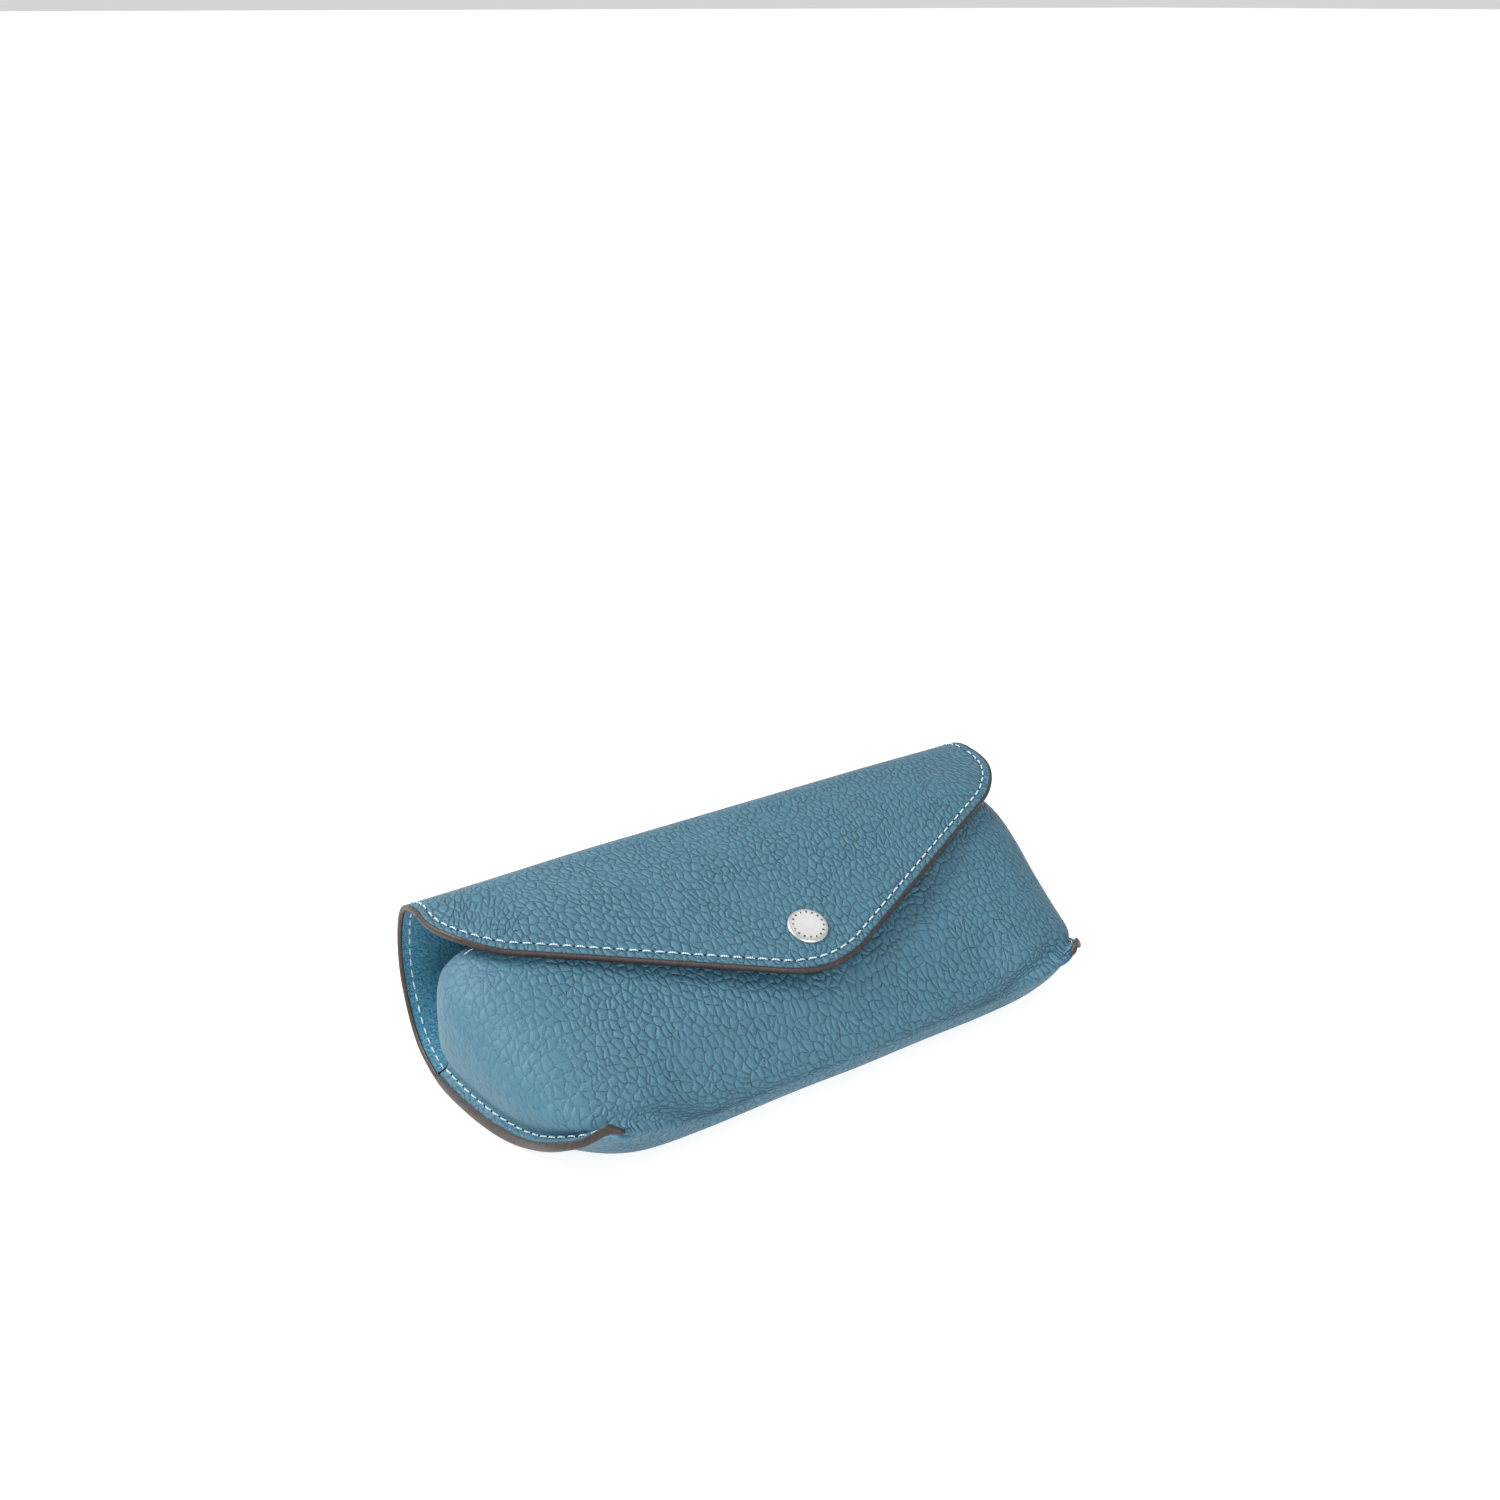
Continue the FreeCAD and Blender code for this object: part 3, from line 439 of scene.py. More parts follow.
def stitch(place, way, up, base):
    """Vertices, faces and pattern coordinates of one stitch and the needle hole after it, a flat
    disc of painted shade.
    """
    across_way = unit(np.cross(way, up))
    way = unit(way + across_way * rng.normal(0, STITCH_TILT))
    across_way = unit(np.cross(way, up))
    length = DASH * rng.uniform(0.96, 1.08)
    verts, coords = [], []
    for k in range(STITCH_RINGS):
        t = -1 + 2 * k / (STITCH_RINGS - 1)
        centre = place + way * (t * length / 2) + up * (STITCH_RISE - STITCH_DIP * abs(t) ** 3.4)
        thick = THREAD * (1 - 0.35 * abs(t) ** 4)
        for j in range(STITCH_SIDES):
            turn = 2 * math.pi * j / STITCH_SIDES
            verts.append(centre + across_way * (thick * 1.12 * math.cos(turn))
                         + up * (thick * 0.9 * math.sin(turn)))
            coords.append((t * length / 2, turn / (2 * math.pi), base * COLOUR_STEP))
    faces = []
    for k in range(STITCH_RINGS - 1):
        for j in range(STITCH_SIDES):
            first = base + k * STITCH_SIDES + j
            second = base + k * STITCH_SIDES + (j + 1) % STITCH_SIDES
            faces.append((first, second, second + STITCH_SIDES, first + STITCH_SIDES))
    last_ring = base + (STITCH_RINGS - 1) * STITCH_SIDES
    faces.append([base + j for j in range(STITCH_SIDES)][::-1])
    faces.append([last_ring + j for j in range(STITCH_SIDES)])
    hole_base = base + len(verts)
    hole = place + way * (PITCH / 2) - up * HOLE_DEEP
    for j in range(HOLE_SIDES):
        turn = 2 * math.pi * j / HOLE_SIDES
        verts.append(hole + way * (HOLE_LONG * math.cos(turn))
                     + across_way * (HOLE_WIDE * math.sin(turn)))
        coords.append((0.0, 0.0, hole_base * COLOUR_STEP))
    faces.append([hole_base + j for j in range(HOLE_SIDES)])
    return verts, faces, coords


def thread(name, places, ways, ups):
    """A row of stitches: short arched lengths of twisted thread whose ends dip into the leather."""
    verts, faces, coords, holes = [], [], [], []
    for place, way, up in zip(places, ways, ups):
        more_verts, more_faces, more_coords = stitch(place, way, up, len(verts))
        verts += more_verts
        faces += more_faces
        coords += more_coords
        holes.append(len(faces) - 1)
    piece = add_mesh(name, verts, faces, thread_look, [("sheet", "FLOAT_VECTOR", coords)])
    # the needle-hole discs take the painted shade material
    piece.data.materials.append(hole_shade_look)
    for k in holes:
        piece.data.polygons[k].material_index = 1
    return piece


LATHE_SIDES = 96


def lathe(name, outline, material, crisp=35):
    """A turned piece on the snap's axis from (radius, level) pairs; level 0 is the flap's face."""
    verts, plan = [], []
    turns = np.linspace(0, 2 * math.pi, LATHE_SIDES, endpoint=False)
    start = np.array([0.0, -SNAP_FRONT, float(flap_height(-SNAP_FRONT))])
    up = np.array([0.0, -math.sin(SLOPE), math.cos(SLOPE)])
    right = np.array([1.0, 0.0, 0.0])
    ahead = np.cross(up, right)
    for radius, level in outline:
        for turn in turns:
            spot = right * (radius * math.cos(turn)) + ahead * (radius * math.sin(turn))
            verts.append(start + spot + up * level)
            plan.append((radius * math.cos(turn), radius * math.sin(turn), level))
    faces = grid_faces(len(outline), LATHE_SIDES, closed=True)
    return add_mesh(name, verts, faces, material, [("sheet", "FLOAT_VECTOR", plan)], crisp)


# ------------------------------------------------------------------ materials

class Graph:
    """Short calls for building one material's nodes."""

    def __init__(self, name):
        self.material = bpy.data.materials.new(name)
        self.material.use_nodes = True
        self.tree = self.material.node_tree
        self.shader = self.tree.nodes["Principled BSDF"]

    def put(self, socket, value):
        if isinstance(value, bpy.types.NodeSocket):
            self.tree.links.new(value, socket)
        else:
            socket.default_value = value

    def add(self, kind, inputs=(), **settings):
        item = self.tree.nodes.new("ShaderNode" + kind)
        for key, value in settings.items():
            setattr(item, key, value)
        for key, value in dict(inputs).items():
            self.put(item.inputs[key], value)
        return item

    def sheet(self, key="sheet"):
        item = self.add("Attribute", attribute_name=key)
        return item.outputs["Vector"] if key == "sheet" else item.outputs["Fac"]

    def math(self, operation, *values, clamp=False):
        item = self.add("Math", operation=operation, use_clamp=clamp)
        for k, value in enumerate(values):
            self.put(item.inputs[k], value)
        return item.outputs[0]

    def vector(self, operation, *values):
        item = self.add("VectorMath", operation=operation)
        for k, value in enumerate(values):
            self.put(item.inputs[k], value)
        return item.outputs[0]

    def steps(self, value, low, high, out_low=0.0, out_high=1.0):
        item = self.add("MapRange", {"Value": value, "From Min": low, "From Max": high,
                                     "To Min": out_low, "To Max": out_high},
                        interpolation_type="SMOOTHSTEP")
        return item.outputs["Result"]

    def noise(self, where, scale, detail=3.0, rough=0.55):
        item = self.add("TexNoise", {"Vector": where, "Scale": scale, "Detail": detail,
                                     "Roughness": rough})
        return item.outputs["Fac"]

    def scatter(self, where, scale):
        item = self.add("TexNoise", {"Vector": where, "Scale": scale, "Detail": 2.0})
        return item.outputs["Color"]

    def cells(self, where, scale, randomness):
        item = self.add("TexVoronoi", feature="DISTANCE_TO_EDGE", voronoi_dimensions="2D")
        for key, value in (("Vector", where), ("Scale", scale), ("Randomness", randomness)):
            self.put(item.inputs[key], value)
        return item.outputs["Distance"]

    def mix(self, share, a, b):
        item = self.add("Mix", data_type="RGBA")
        colour_a, colour_b, result = item.inputs[6], item.inputs[7], item.outputs[2]
        self.put(item.inputs["Factor"], share)
        self.put(colour_a, a)
        self.put(colour_b, b)
        return result

    def bump(self, height, distance, strength=1.0, below=None):
        inputs = {"Height": height, "Distance": distance, "Strength": strength}
        if below is not None:
            inputs["Normal"] = below
        return self.add("Bump", inputs).outputs["Normal"]

    def finish(self, **inputs):
        for key, value in inputs.items():
            self.put(self.shader.inputs[key.replace("_", " ")], value)
        return self.material


def colour(red, green, blue):
    """An sRGB colour of 0 to 255 as linear RGBA."""
    def linear(c):
        c /= 255
        return c / 12.92 if c <= 0.04045 else ((c + 0.055) / 1.055) ** 2.4
    return (linear(red), linear(green), linear(blue), 1.0)


def leather_material():
    g = Graph("pebbled_leather")
    where, calm = g.sheet(), g.sheet("calm")
    half_grey = (0.5, 0.5, 0.5)
    drift = g.vector("SUBTRACT", g.scatter(where, 0.12), half_grey)
    drift = g.vector("MULTIPLY", drift, (3.0, 3.0, 0.0))
    wobble = g.vector("SUBTRACT", g.scatter(where, 0.8), half_grey)
    wobble = g.vector("MULTIPLY", wobble, (0.55, 0.55, 0.0))
    warped = g.vector("ADD", g.vector("ADD", where, drift), wobble)
    flow = g.vector("MULTIPLY", warped, (1.0, 0.7, 1.0))
    pebbles = g.cells(flow, 0.55, 0.85)
    small = g.cells(g.vector("ADD", flow, (40.0, 13.0, 0.0)), 1.1, 1.0)
    broad = g.noise(where, 0.09, 2.0)
    patchy = g.steps(g.noise(where, 0.35, 2.0), 0.36, 0.62)
    pillow = g.math("POWER", g.steps(pebbles, -0.04, 0.42), 0.5)
    little = g.math("MULTIPLY", g.math("SUBTRACT", 1.0, g.steps(small, 0.0, 0.2)), patchy)
    fade = g.math("MULTIPLY", g.math("SUBTRACT", 1.0, calm), g.steps(broad, 0.3, 0.6, 0.7, 1.0))
    height = g.math("MULTIPLY", pillow, g.math("MULTIPLY", fade, 0.8))
    height = g.math("SUBTRACT", height, g.math("MULTIPLY", little, 0.1))
    height = g.math("ADD", height, g.math("MULTIPLY", g.noise(where, 1.1, 4.0), 0.15))
    fine = g.noise(where, 7.0, 4.0, 0.7)
    normal = g.bump(height, 0.00056, 1.0)
    normal = g.bump(fine, 0.00007, 0.6, normal)
    uneven = g.steps(g.noise(where, 0.7, 2.0), 0.38, 0.62, 0.2, 1.0)
    # Painted shade: the thin creases between pebbles and the small cracks are darkened in the
    # colour, as the shade in the valleys of the bump.
    slit_shade = g.math("SUBTRACT", 1.0, g.steps(pebbles, 0.0, 0.075))
    slit_shade = g.math("MULTIPLY", g.math("MULTIPLY", slit_shade, fade), uneven)
    thin_crack_shade = g.math("MULTIPLY", g.math("SUBTRACT", 1.0, g.steps(small, 0.0, 0.06)), patchy)
    painted_crease_shade = g.math("ADD", slit_shade, g.math("MULTIPLY", thin_crack_shade, 0.35), clamp=True)
    tone = g.mix(g.noise(where, 0.3, 3.0), colour(57, 99, 118), colour(69, 113, 132))
    tone = g.mix(painted_crease_shade, tone, colour(20, 42, 53))
    rough = g.steps(fine, 0.2, 0.8, 0.46, 0.6)
    return g.finish(Base_Color=tone, Roughness=rough, Normal=normal, Specular_IOR_Level=0.36)


def suede_material():
    g = Graph("suede_lining")
    where = g.sheet()
    nap = g.noise(where, 1.6, 6.0, 0.8)
    patches = g.noise(where, 0.35, 3.0)
    fuzz = g.noise(where, 6.0, 3.0, 0.7)
    tone = g.mix(g.steps(nap, 0.36, 0.64), colour(20, 82, 110), colour(98, 166, 194))
    tone = g.mix(g.math("MULTIPLY", g.steps(patches, 0.3, 0.7), 0.3), tone, colour(54, 122, 150))
    normal = g.bump(nap, 0.0003, 1.0)
    normal = g.bump(fuzz, 0.0001, 0.8, normal)
    return g.finish(Base_Color=tone, Roughness=0.95, Normal=normal, Sheen_Weight=0.25,
                    Sheen_Roughness=0.45, Specular_IOR_Level=0.12)


def paint_material():
    g = Graph("edge_paint")
    where = g.sheet()
    wavy = g.noise(where, 0.9, 3.0)
    grit = g.noise(where, 5.0, 3.0)
    tone = g.mix(g.steps(wavy, 0.3, 0.7), colour(33, 25, 24), colour(54, 42, 40))
    normal = g.bump(wavy, 0.00012, 0.8)
    normal = g.bump(grit, 0.00004, 0.6, normal)
    return g.finish(Base_Color=tone, Roughness=g.steps(grit, 0.2, 0.8, 0.38, 0.6), Normal=normal)


def thread_material():
    g = Graph("waxed_thread")
    where = g.sheet()
    parts = g.add("SeparateXYZ", {"Vector": where})
    lay = g.math("ADD", g.math("MULTIPLY", parts.outputs[0], 1.9), parts.outputs[1])
    ply_groove = g.math("ABSOLUTE", g.math("SUBTRACT", g.math("FRACT", lay), 0.5))
    ply_groove = g.steps(ply_groove, 0.06, 0.34)
    fuzz = g.noise(where, 12.0, 3.0)
    # Painted shade: the grooves between the plies are darker in the colour, as well as lower in the
    # bump.
    tone = g.mix(ply_groove, colour(136, 166, 182), colour(206, 224, 232))
    normal = g.bump(ply_groove, 0.00009, 0.9)
    normal = g.bump(fuzz, 0.00003, 0.5, normal)
    return g.finish(Base_Color=tone, Roughness=0.6, Normal=normal, Sheen_Weight=0.2)


# Painted shade: each needle hole is a flat disc whose dark colour stands for the shade inside the
# hole.
def hole_shade_material():
    g = Graph("needle_hole_shade")
    tone = g.mix(g.noise(g.sheet(), 3.0), colour(14, 30, 38), colour(24, 44, 54))
    return g.finish(Base_Color=tone, Roughness=0.9, Specular_IOR_Level=0.1)


CAP_MARKS = 16.0                  # plain strokes round the cap


def cap_material():
    g = Graph("polished_cap")
    parts = g.add("SeparateXYZ", {"Vector": g.sheet()})
    x, y = parts.outputs[0], parts.outputs[1]
    radius = g.math("SQRT", g.math("ADD", g.math("MULTIPLY", x, x), g.math("MULTIPLY", y, y)))
    turn = g.math("DIVIDE", g.math("ARCTAN2", y, x), 2 * math.pi)
    wave = g.math("SUBTRACT", g.math("FRACT", g.math("MULTIPLY", turn, CAP_MARKS)), 0.5)
    wave = g.math("ABSOLUTE", wave)
    dash = g.steps(wave, 0.3, 0.36)
    band = g.steps(g.math("ABSOLUTE", g.math("SUBTRACT", radius, 3.75)), 0.22, 0.32, 1.0, 0.0)
    mark = g.math("MULTIPLY", dash, band)
    haze = g.noise(g.sheet(), 1.5, 4.0)
    tone = g.mix(mark, colour(212, 212, 211), colour(104, 102, 98))
    normal = g.bump(g.math("SUBTRACT", 1.0, mark), 0.00008, 0.8)
    return g.finish(Base_Color=tone, Metallic=1.0, Roughness=g.steps(haze, 0.2, 0.8, 0.3, 0.38),
                    Normal=normal)


def metal_material():
    g = Graph("plated_snap")
    where = g.sheet()
    haze = g.noise(where, 2.5, 4.0)
    tone = g.mix(g.steps(haze, 0.3, 0.7), colour(176, 175, 170), colour(206, 205, 200))
    normal = g.bump(haze, 0.00003, 0.5)
    return g.finish(Base_Color=tone, Metallic=1.0, Roughness=g.steps(haze, 0.2, 0.8, 0.26, 0.4),
                    Normal=normal)


leather = leather_material()
suede = suede_material()
paint = paint_material()
thread_look = thread_material()
hole_shade_look = hole_shade_material()
cap_look = cap_material()
metal = metal_material()

# ------------------------------------------------------------------ leather and lining

POCKET_WAVES, FLAP_WAVES, WAVE_SEED = 0.22, 0.16, 3     # unevenness of the soft sheet
LEFT_CALM = 0.55                  # how much smoother the stretched left end is

from_edge = np.minimum(side, along_y)
soft = smooth(6.0, 16.0, from_edge)
x_here, y_here, z_here = sheet[..., 0], sheet[..., 1], sheet[..., 2]
near_fold = smooth(POCKET_ROWS - 30, POCKET_ROWS, np.arange(len(sheet)))[:, None]
loose = soft * smooth(1.5, 6.0, z_here) * (1 - near_fold)
waves = POCKET_WAVES * ripple(along_x, along_y, WAVE_SEED) * loose
coords = np.stack([along_x, along_y, np.zeros_like(along_x)], axis=-1)
calm = LEFT_CALM * smooth(56.0, 72.0, -x_here) * (1 - smooth(16.0, 24.0, y_here))
calm = calm * smooth(2.0, 8.0, z_here)

room = room_for_layers()
outer = np.minimum(skin_depth(from_edge), room) - waves
inner = np.minimum(LAYERS - waves, room)
wall = np.minimum(LEATHER, room)
pocket, fold = slice(0, POCKET_ROWS), slice(POCKET_ROWS - 1, None)
POCKET_WALLS, END_WALLS = ((1, 0), (1, 1)), ((0, 0), (1, 1))


def skin(name, part, walls):
    return layer(name, sheet[part], normals[part], outer[part], wall[part], walls,
                 coords[part], calm[part], leather, True)


def lining(name, part, walls):
    return layer(name, sheet[part], normals[part], inner[part], wall[part], walls,
                 coords[part], calm[part], suede, False)


pocket_skin = skin("leather_pocket", pocket, POCKET_WALLS)
fold_skin = skin("leather_fold", fold, END_WALLS)
pocket_lining = lining("lining_pocket", pocket, POCKET_WALLS)
fold_lining = lining("lining_fold", fold, END_WALLS)

FLAP_ROWS = 150
outline = flap_outline(0.0, 0.55)
share = np.linspace(0.0, 1.0, FLAP_ROWS)[:, None]
flap_y = SPLIT_Y + (outline[:, 1] - SPLIT_Y) * share
flap_x = np.broadcast_to(outline[:, 0], flap_y.shape)
flap = np.stack([flap_x, flap_y, flap_height(flap_y)], axis=-1)
flap_up = flap_normal(flap_y)


def to_outline(x, y):
    """Distance in plan from each point to the flap's outline."""
    line = flap_outline(0.0, 0.5)
    points = np.stack([x.ravel(), y.ravel()], axis=1)
    best = np.full(len(points), 1e9)
    for a, b in zip(line[:-1], line[1:]):
        run = b - a
        t = np.clip(((points - a) @ run) / (run @ run), 0, 1)
        best = np.minimum(best, np.linalg.norm(points - a - t[:, None] * run, axis=1))
    return np.minimum(best, FOLD_HALF - np.abs(points[:, 0])).reshape(x.shape)


flap_edge_gap = to_outline(flap_x, flap_y)
start_y = np.interp(outline[:, 0], sheet[-1, :, 0], along_y[-1])
flap_coords = np.stack([flap_x, start_y + lengths(flap), np.zeros_like(flap_x)], axis=-1)
flap_waves = FLAP_WAVES * ripple(flap_x, flap_coords[..., 1], WAVE_SEED)
flap_waves = flap_waves * smooth(6.0, 16.0, flap_edge_gap) * smooth(0.0, 8.0, SPLIT_Y - flap_y)
flap_calm = np.zeros_like(flap_x)
flap_skin = layer("leather_flap", flap, flap_up, skin_depth(flap_edge_gap) - flap_waves, LEATHER,
                  ((0, 1), (1, 1)), flap_coords, flap_calm, leather, True)
flap_lining = layer("lining_flap", flap, flap_up, LAYERS - flap_waves, LEATHER,
                    ((0, 1), (1, 1)), flap_coords, flap_calm, suede, False)

# ------------------------------------------------------------------ painted edges

def edge_line(rows, column):
    """Edge points, outward directions in the sheet and normals, for some rows of the grid."""
    inside = 1 if column == 0 else -2
    place = sheet[rows, column]
    return place, unit(place - sheet[rows, inside]), normals[rows, column]


def edge_paint(name, place, out, up, fat=1.0):
    """Paint on a single cut edge; fat 1 wraps round the rim and fat 0 stays within the edge."""
    centre = place - up * (LAYERS / 2 + 0.1 * fat) - out * 0.2 * fat
    half = up * (LAYERS / 2 - 0.15 + 0.27 * fat)
    return bead(name, centre, half, out, 0.3 + 0.45 * fat, paint)


SEAM_RINGS = 140                  # cross-sections of the paint on a seam
EAR_GAP = 0.1                     # the two rows of the seam stop this short of the corner
TINY_U, TINY_V = 0.05, 0.03       # small steps on the strip, to find directions


def tip_of_paint(v_edge):
    """Middle, half height and outward direction of a seam's paint past the front corner."""
    share = np.linspace(0.0, 1.0, TIP_RINGS)
    places = list(zip(U_EAR - TIP_RISE * share, np.abs(v_edge - TIP_SPAN * share)))
    ridge, above, below = [
        np.array([strip([u + step], [v])[0, 0] for u, v in places])
        for step in (0.0, -TINY_U, TINY_U)]
    taper = np.sqrt(1.01 - share ** 6)
    half = unit(above - below) * (TIP_HALF * taper)[:, None]
    out = unit(np.cross(np.gradient(ridge, axis=0), half))
    return ridge, half, out * -np.sign(out[:, 1:2])


def seam_paint(name, column):
    """Paint over a doubled side seam, from the mouth to its blunt tip past the front corner."""
    share = np.linspace(0.0, 1.0, SEAM_RINGS)
    front_u = (U_EAR - EAR_GAP) * share
    back_u = U_CORNER + (U_EAR + EAR_GAP - U_CORNER) * share
    v_edge, v_inside = (0.0, TINY_V) if column == 0 else (V_LAST, V_LAST - TINY_V)
    front, back = strip(front_u, [v_edge])[:, 0], strip(back_u, [v_edge])[:, 0]
    front_in, back_in = strip(front_u, [v_inside])[:, 0], strip(back_u, [v_inside])[:, 0]
    out = unit(unit(front - front_in) + unit(back - back_in))
    half = (front - back) / 2 * 0.97
    tip, tip_half, tip_out = tip_of_paint(v_edge)
    meet = smooth(0.7, 1.0, share)[:, None]
    half = half * (1 - meet) + tip_half[0] * meet
    out = unit(out * (1 - meet) + tip_out[0] * meet)
    centre = np.concatenate([(front + back) / 2, tip[1:]])
    half, out = np.concatenate([half, tip_half[1:]]), np.concatenate([out, tip_out[1:]])
    return bead(name, centre + out * 0.02, half, out, 0.6, paint)


corner_row = int(np.argmin(np.abs(row_u - U_CORNER)))
ear_row = int(np.argmin(np.abs(row_u - U_EAR)))
paints = {}
for label, column in (("left", 0), ("right", -1)):
    rows = np.arange(corner_row, POCKET_ROWS)
    paints[f"paint_back_{label}"] = edge_paint(f"paint_back_{label}", *edge_line(rows, column))
    rows = np.arange(POCKET_ROWS - 1, len(sheet))
    paints[f"paint_fold_{label}"] = edge_paint(f"paint_fold_{label}", *edge_line(rows, column))
    paints[f"paint_seam_{label}"] = seam_paint(f"paint_seam_{label}", column)

mouth_out = unit(sheet[0] - sheet[1])
paints["paint_mouth"] = edge_paint("paint_mouth", sheet[0], mouth_out, normals[0], 0.0)

fine_line = flap_outline(0.0, 0.5)
line_3d = np.column_stack([fine_line, flap_height(fine_line[:, 1])])
line_up = flap_normal(fine_line[:, 1])
line_out = unit(np.cross(unit(np.gradient(line_3d, axis=0)), line_up))
if line_out[len(line_out) // 2, 1] > 0:
    line_out = -line_out
paints["paint_flap"] = edge_paint("paint_flap", line_3d, line_out, line_up)

# ------------------------------------------------------------------ stitches

def inset_line(rows, column, distance=INSET):
    """The line at a distance inside a cut edge, and the normals along it."""
    half_count = len(VS) // 2
    line, ups = [], []
    for row in rows:
        gaps, cells, out = side[row], sheet[row], normals[row]
        if column != 0:
            gaps, cells, out = gaps[::-1], cells[::-1], out[::-1]
        gaps, cells, out = gaps[:half_count], cells[:half_count], out[:half_count]
        line.append([np.interp(distance, gaps, cells[:, k]) for k in range(3)])
        ups.append([np.interp(distance, gaps, out[:, k]) for k in range(3)])
    return np.array(line), unit(np.array(ups))


SEAM_START, FLAP_START = 1.2, 1.5       # from the end of a line to its first stitch
OFF_FLOOR = 2.0                   # no outer stitches where the case rests
MOUTH_CORNER = 34                 # grid columns without stitches at each end of the mouth

stitches = {}


def add_thread(name, places, ways, ups):
    stitches[name] = thread(name, places, ways, ups)


for label, column in (("left", 0), ("right", -1)):
    line, ups = inset_line(range(1, ear_row - 4), column, SEAM_INSET)
    add_thread(f"thread_seam_{label}", *spaced(line, ups, SEAM_START))
    line, ups = inset_line(range(corner_row + 3, len(sheet)), column)
    places, ways, ups = spaced(line, ups, SEAM_START)
    inner_places = places - ups * LAYERS
    off_floor = places[:, 2] > OFF_FLOOR
    to_flap = np.array([SPLIT_Y, FOLD_TOP[1]]) - BLEND_START
    in_pocket = (places[:, 1:] - BLEND_START) @ to_flap < 0
    for part, chosen in (("back", in_pocket), ("fold", ~in_pocket)):
        outer_pick = chosen & off_floor
        add_thread(f"thread_{part}_{label}_outer", places[outer_pick], ways[outer_pick],
                   ups[outer_pick])
        add_thread(f"thread_{part}_{label}_inner", inner_places[chosen], ways[chosen],
                   -ups[chosen])

inside = flap_outline(-INSET, 0.4)
line = np.column_stack([inside, flap_height(inside[:, 1])])
places, ways, ups = spaced(line, flap_normal(inside[:, 1]), FLAP_START)
add_thread("thread_flap_top", places, ways, ups)
add_thread("thread_flap_under", places - ups * LAYERS, ways, -ups)

mouth_row = int(np.argmin(np.abs(along_y[:, len(VS) // 2] - INSET)))
keep = slice(MOUTH_CORNER, -MOUTH_CORNER)
add_thread("thread_mouth", *spaced(sheet[mouth_row, keep], normals[mouth_row, keep], FLAP_START))

# ------------------------------------------------------------------ the snap

LINING_LEVEL = -(LAYERS + 0.1)
ROOF_LEVEL, SOCKET_LEVEL = LINING_LEVEL - 0.5, LINING_LEVEL - 2.0
FOOT_LEVEL = SOCKET_LEVEL - 0.15
PANEL_LEVEL, HEAD_LEVEL = FOOT_LEVEL - 0.35, FOOT_LEVEL + 1.5
EYELET_LEVEL = PANEL_LEVEL - LAYERS - 0.36

cap = lathe("cap_turned", [
    (0.01, 0.95), (0.8, 0.945), (1.6, 0.93), (2.4, 0.905), (3.2, 0.87), (3.9, 0.83), (4.3, 0.79),
    (4.6, 0.72), (4.8, 0.62), (4.93, 0.48), (5.0, 0.3), (5.0, 0.02), (4.9, -0.1), (1.2, -0.1),
    (1.2, ROOF_LEVEL), (0.01, ROOF_LEVEL)], cap_look, 50)
socket = lathe("socket_turned", [
    (1.25, LINING_LEVEL), (4.1, LINING_LEVEL), (4.3, LINING_LEVEL - 0.1),
    (4.4, LINING_LEVEL - 0.3), (4.4, SOCKET_LEVEL + 0.5), (4.3, SOCKET_LEVEL + 0.2),
    (3.9, SOCKET_LEVEL), (3.5, SOCKET_LEVEL + 0.12), (2.9, SOCKET_LEVEL + 0.12),
    (2.6, SOCKET_LEVEL), (2.35, SOCKET_LEVEL + 0.15), (2.35, ROOF_LEVEL), (1.25, ROOF_LEVEL)],
    metal)
stud = lathe("stud_turned", [
    (0.01, HEAD_LEVEL), (0.9, HEAD_LEVEL), (1.3, HEAD_LEVEL - 0.08), (1.58, HEAD_LEVEL - 0.28),
    (1.65, HEAD_LEVEL - 0.5), (1.55, HEAD_LEVEL - 0.75), (1.35, HEAD_LEVEL - 1.0),
    (1.35, FOOT_LEVEL + 0.1), (1.6, FOOT_LEVEL), (3.5, FOOT_LEVEL), (3.8, FOOT_LEVEL - 0.08),
    (3.9, FOOT_LEVEL - 0.22), (3.9, PANEL_LEVEL), (1.2, PANEL_LEVEL),
    (1.2, EYELET_LEVEL - 0.4), (0.01, EYELET_LEVEL - 0.4)], metal)
eyelet = lathe("eyelet_turned", [
    (1.23, EYELET_LEVEL), (3.1, EYELET_LEVEL), (3.2, EYELET_LEVEL - 0.1),
    (3.2, EYELET_LEVEL - 0.25), (3.0, EYELET_LEVEL - 0.38), (2.6, EYELET_LEVEL - 0.4),
    (1.6, EYELET_LEVEL - 0.4), (1.23, EYELET_LEVEL - 0.3)], metal)
turns = np.linspace(0, 2 * math.pi, 16, endpoint=False)
spring = lathe("spring_turned", [
    (2.08 + 0.2 * math.cos(t), SOCKET_LEVEL + 0.5 + 0.2 * math.sin(t)) for t in [*turns, 0.0]],
    metal)

# ------------------------------------------------------------------ riding and replacing

def settle(piece, body, slot, *nodes):
    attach(piece, body)
    if nodes:
        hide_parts(*nodes)


def bend_with_flap(piece):
    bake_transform(piece)


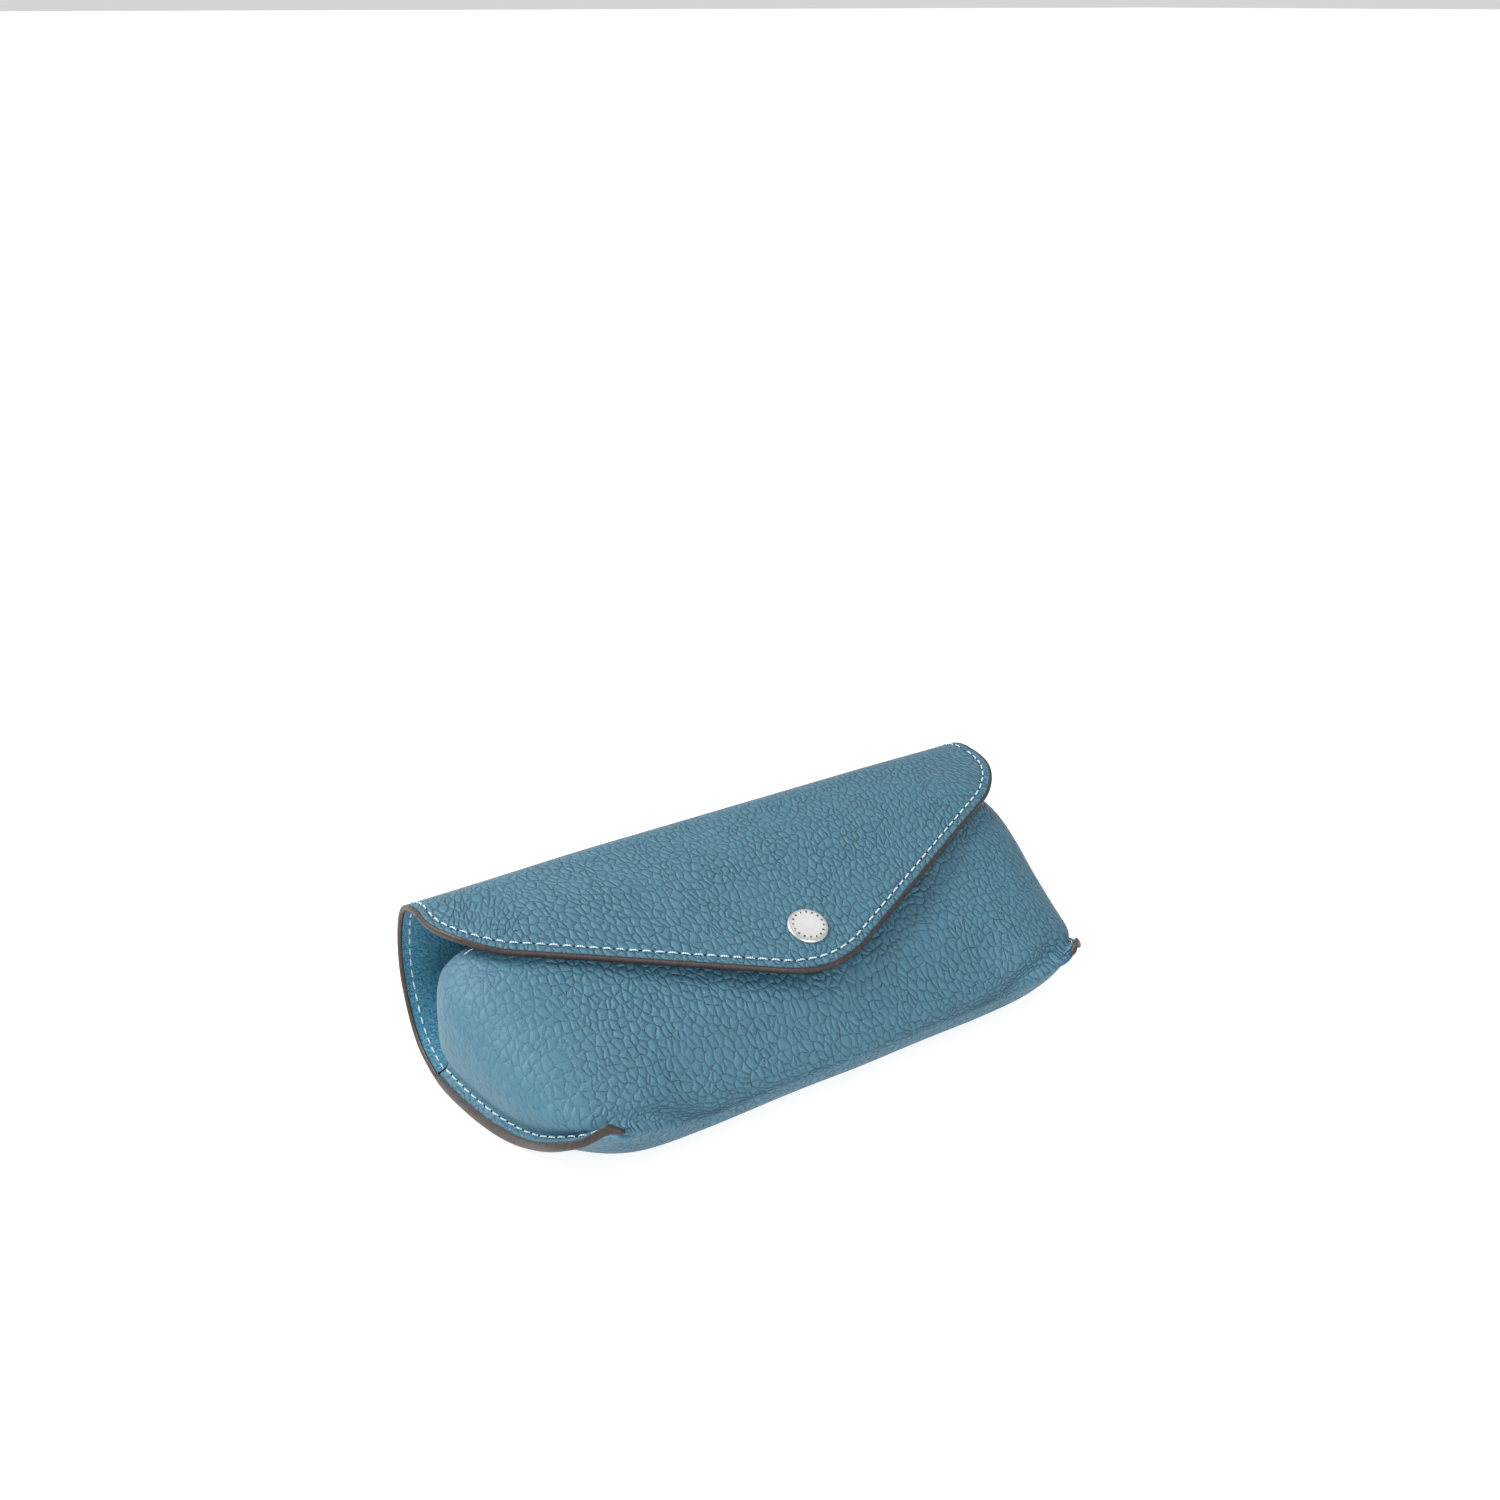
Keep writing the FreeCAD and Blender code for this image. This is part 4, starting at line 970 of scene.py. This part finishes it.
settle(pocket_skin, "pouch", "leather", "front_panel_leather", "back_panel_leather")
settle(pocket_lining, "pouch", "suede", "front_panel_lining", "back_panel_lining")
settle(flap_skin, "flap", "leather", "flap_leather")
settle(flap_lining, "flap", "suede", "flap_lining")
bend_with_flap(fold_skin)
bend_with_flap(fold_lining)
for label in ("left", "right"):
    settle(paints[f"paint_back_{label}"], "pouch", "edge_paint", f"back_edge_{label}")
    settle(paints[f"paint_seam_{label}"], "pouch", "edge_paint", f"seam_edge_{label}")
    bend_with_flap(paints[f"paint_fold_{label}"])
    settle(stitches[f"thread_seam_{label}"], "pouch", "thread", f"seam_stitches_{label}")
    for face in ("outer", "inner"):
        settle(stitches[f"thread_back_{label}_{face}"], "pouch", "thread",
               f"back_edge_stitches_{label}")
        bend_with_flap(stitches[f"thread_fold_{label}_{face}"])
settle(paints["paint_mouth"], "pouch", "edge_paint", "mouth_edge")
settle(paints["paint_flap"], "flap", "edge_paint", "flap_edge")
settle(stitches["thread_flap_top"], "flap", "thread", "flap_stitches_top")
settle(stitches["thread_flap_under"], "flap", "thread", "flap_stitches_under")
settle(stitches["thread_mouth"], "pouch", "thread", "mouth_stitches")
settle(cap, "flap", "cap_metal", "snap_cap")
settle(socket, "flap", "snap_metal", "snap_socket")
settle(spring, "flap", "snap_metal", "snap_spring")
settle(stud, "pouch", "snap_metal", "snap_stud")
settle(eyelet, "pouch", "snap_metal", "snap_eyelet")

# ------------------------------------------------------------------ floor, light, camera

def floor_material():
    g = Graph("pale_floor")
    where = g.add("TexCoord").outputs["Object"]
    tone = g.mix(g.noise(where, 3.0, 2.0), (0.50, 0.49, 0.48, 1.0), (0.52, 0.51, 0.50, 1.0))
    return g.finish(Base_Color=tone, Roughness=0.9, Specular_IOR_Level=0.1,
                    Emission_Color=(1.0, 0.99, 0.98, 1.0), Emission_Strength=0.72)


reach = 40.0
corners = [(-reach, -reach, 0), (reach, -reach, 0), (reach, reach, 0), (-reach, reach, 0)]
floor_mesh = bpy.data.meshes.new("floor")
floor_mesh.from_pydata(corners, [], [(0, 1, 2, 3)])
floor_mesh.materials.append(floor_material())
floor = bpy.data.objects.new("floor", floor_mesh)
floor.location.z = -0.0002        # just clear of the case
bpy.context.scene.collection.objects.link(floor)

world = bpy.data.worlds.new("studio")
world.use_nodes = True
background = world.node_tree.nodes["Background"]
background.inputs["Color"].default_value = (1.0, 1.0, 1.0, 1.0)
background.inputs["Strength"].default_value = 0.66
bpy.context.scene.world = world


AIM = Vector((0.0, 0.0, 0.02))    # the middle of the case


def softbox(name, place, size, power, tint=(1.0, 1.0, 1.0)):
    """A square area light aimed at the case."""
    lamp = bpy.data.lights.new(name, "AREA")
    lamp.shape = "SQUARE"
    lamp.size = size
    lamp.energy = power
    lamp.color = tint
    holder = bpy.data.objects.new(name, lamp)
    holder.location = place
    aim = AIM - Vector(place)
    holder.rotation_euler = aim.to_track_quat("-Z", "Y").to_euler()
    bpy.context.scene.collection.objects.link(holder)


softbox("key", (-0.5, 0.3, 0.6), 0.35, 7.8, (1.0, 0.985, 0.96))
softbox("sky", (0.42, 0.14, 0.78), 0.4, 0.4)
softbox("front", (-0.2, -0.9, 0.45), 0.5, 5.5)

camera_data = bpy.data.cameras.new("camera")
camera_data.lens = 36.0
camera_data.sensor_width = 36.0
camera = bpy.data.objects.new("camera", camera_data)
camera.matrix_world = Matrix((    # columns: right, up, back, place
    (0.8522, 0.2340, -0.4680, -0.1678),
    (-0.5232, 0.3812, -0.7622, -0.2595),
    (0.0, 0.8944, 0.4473, 0.2281),
    (0.0, 0.0, 0.0, 1.0)))
bpy.context.scene.collection.objects.link(camera)
bpy.context.scene.camera = camera
bpy.context.scene.view_settings.view_transform = "Standard"
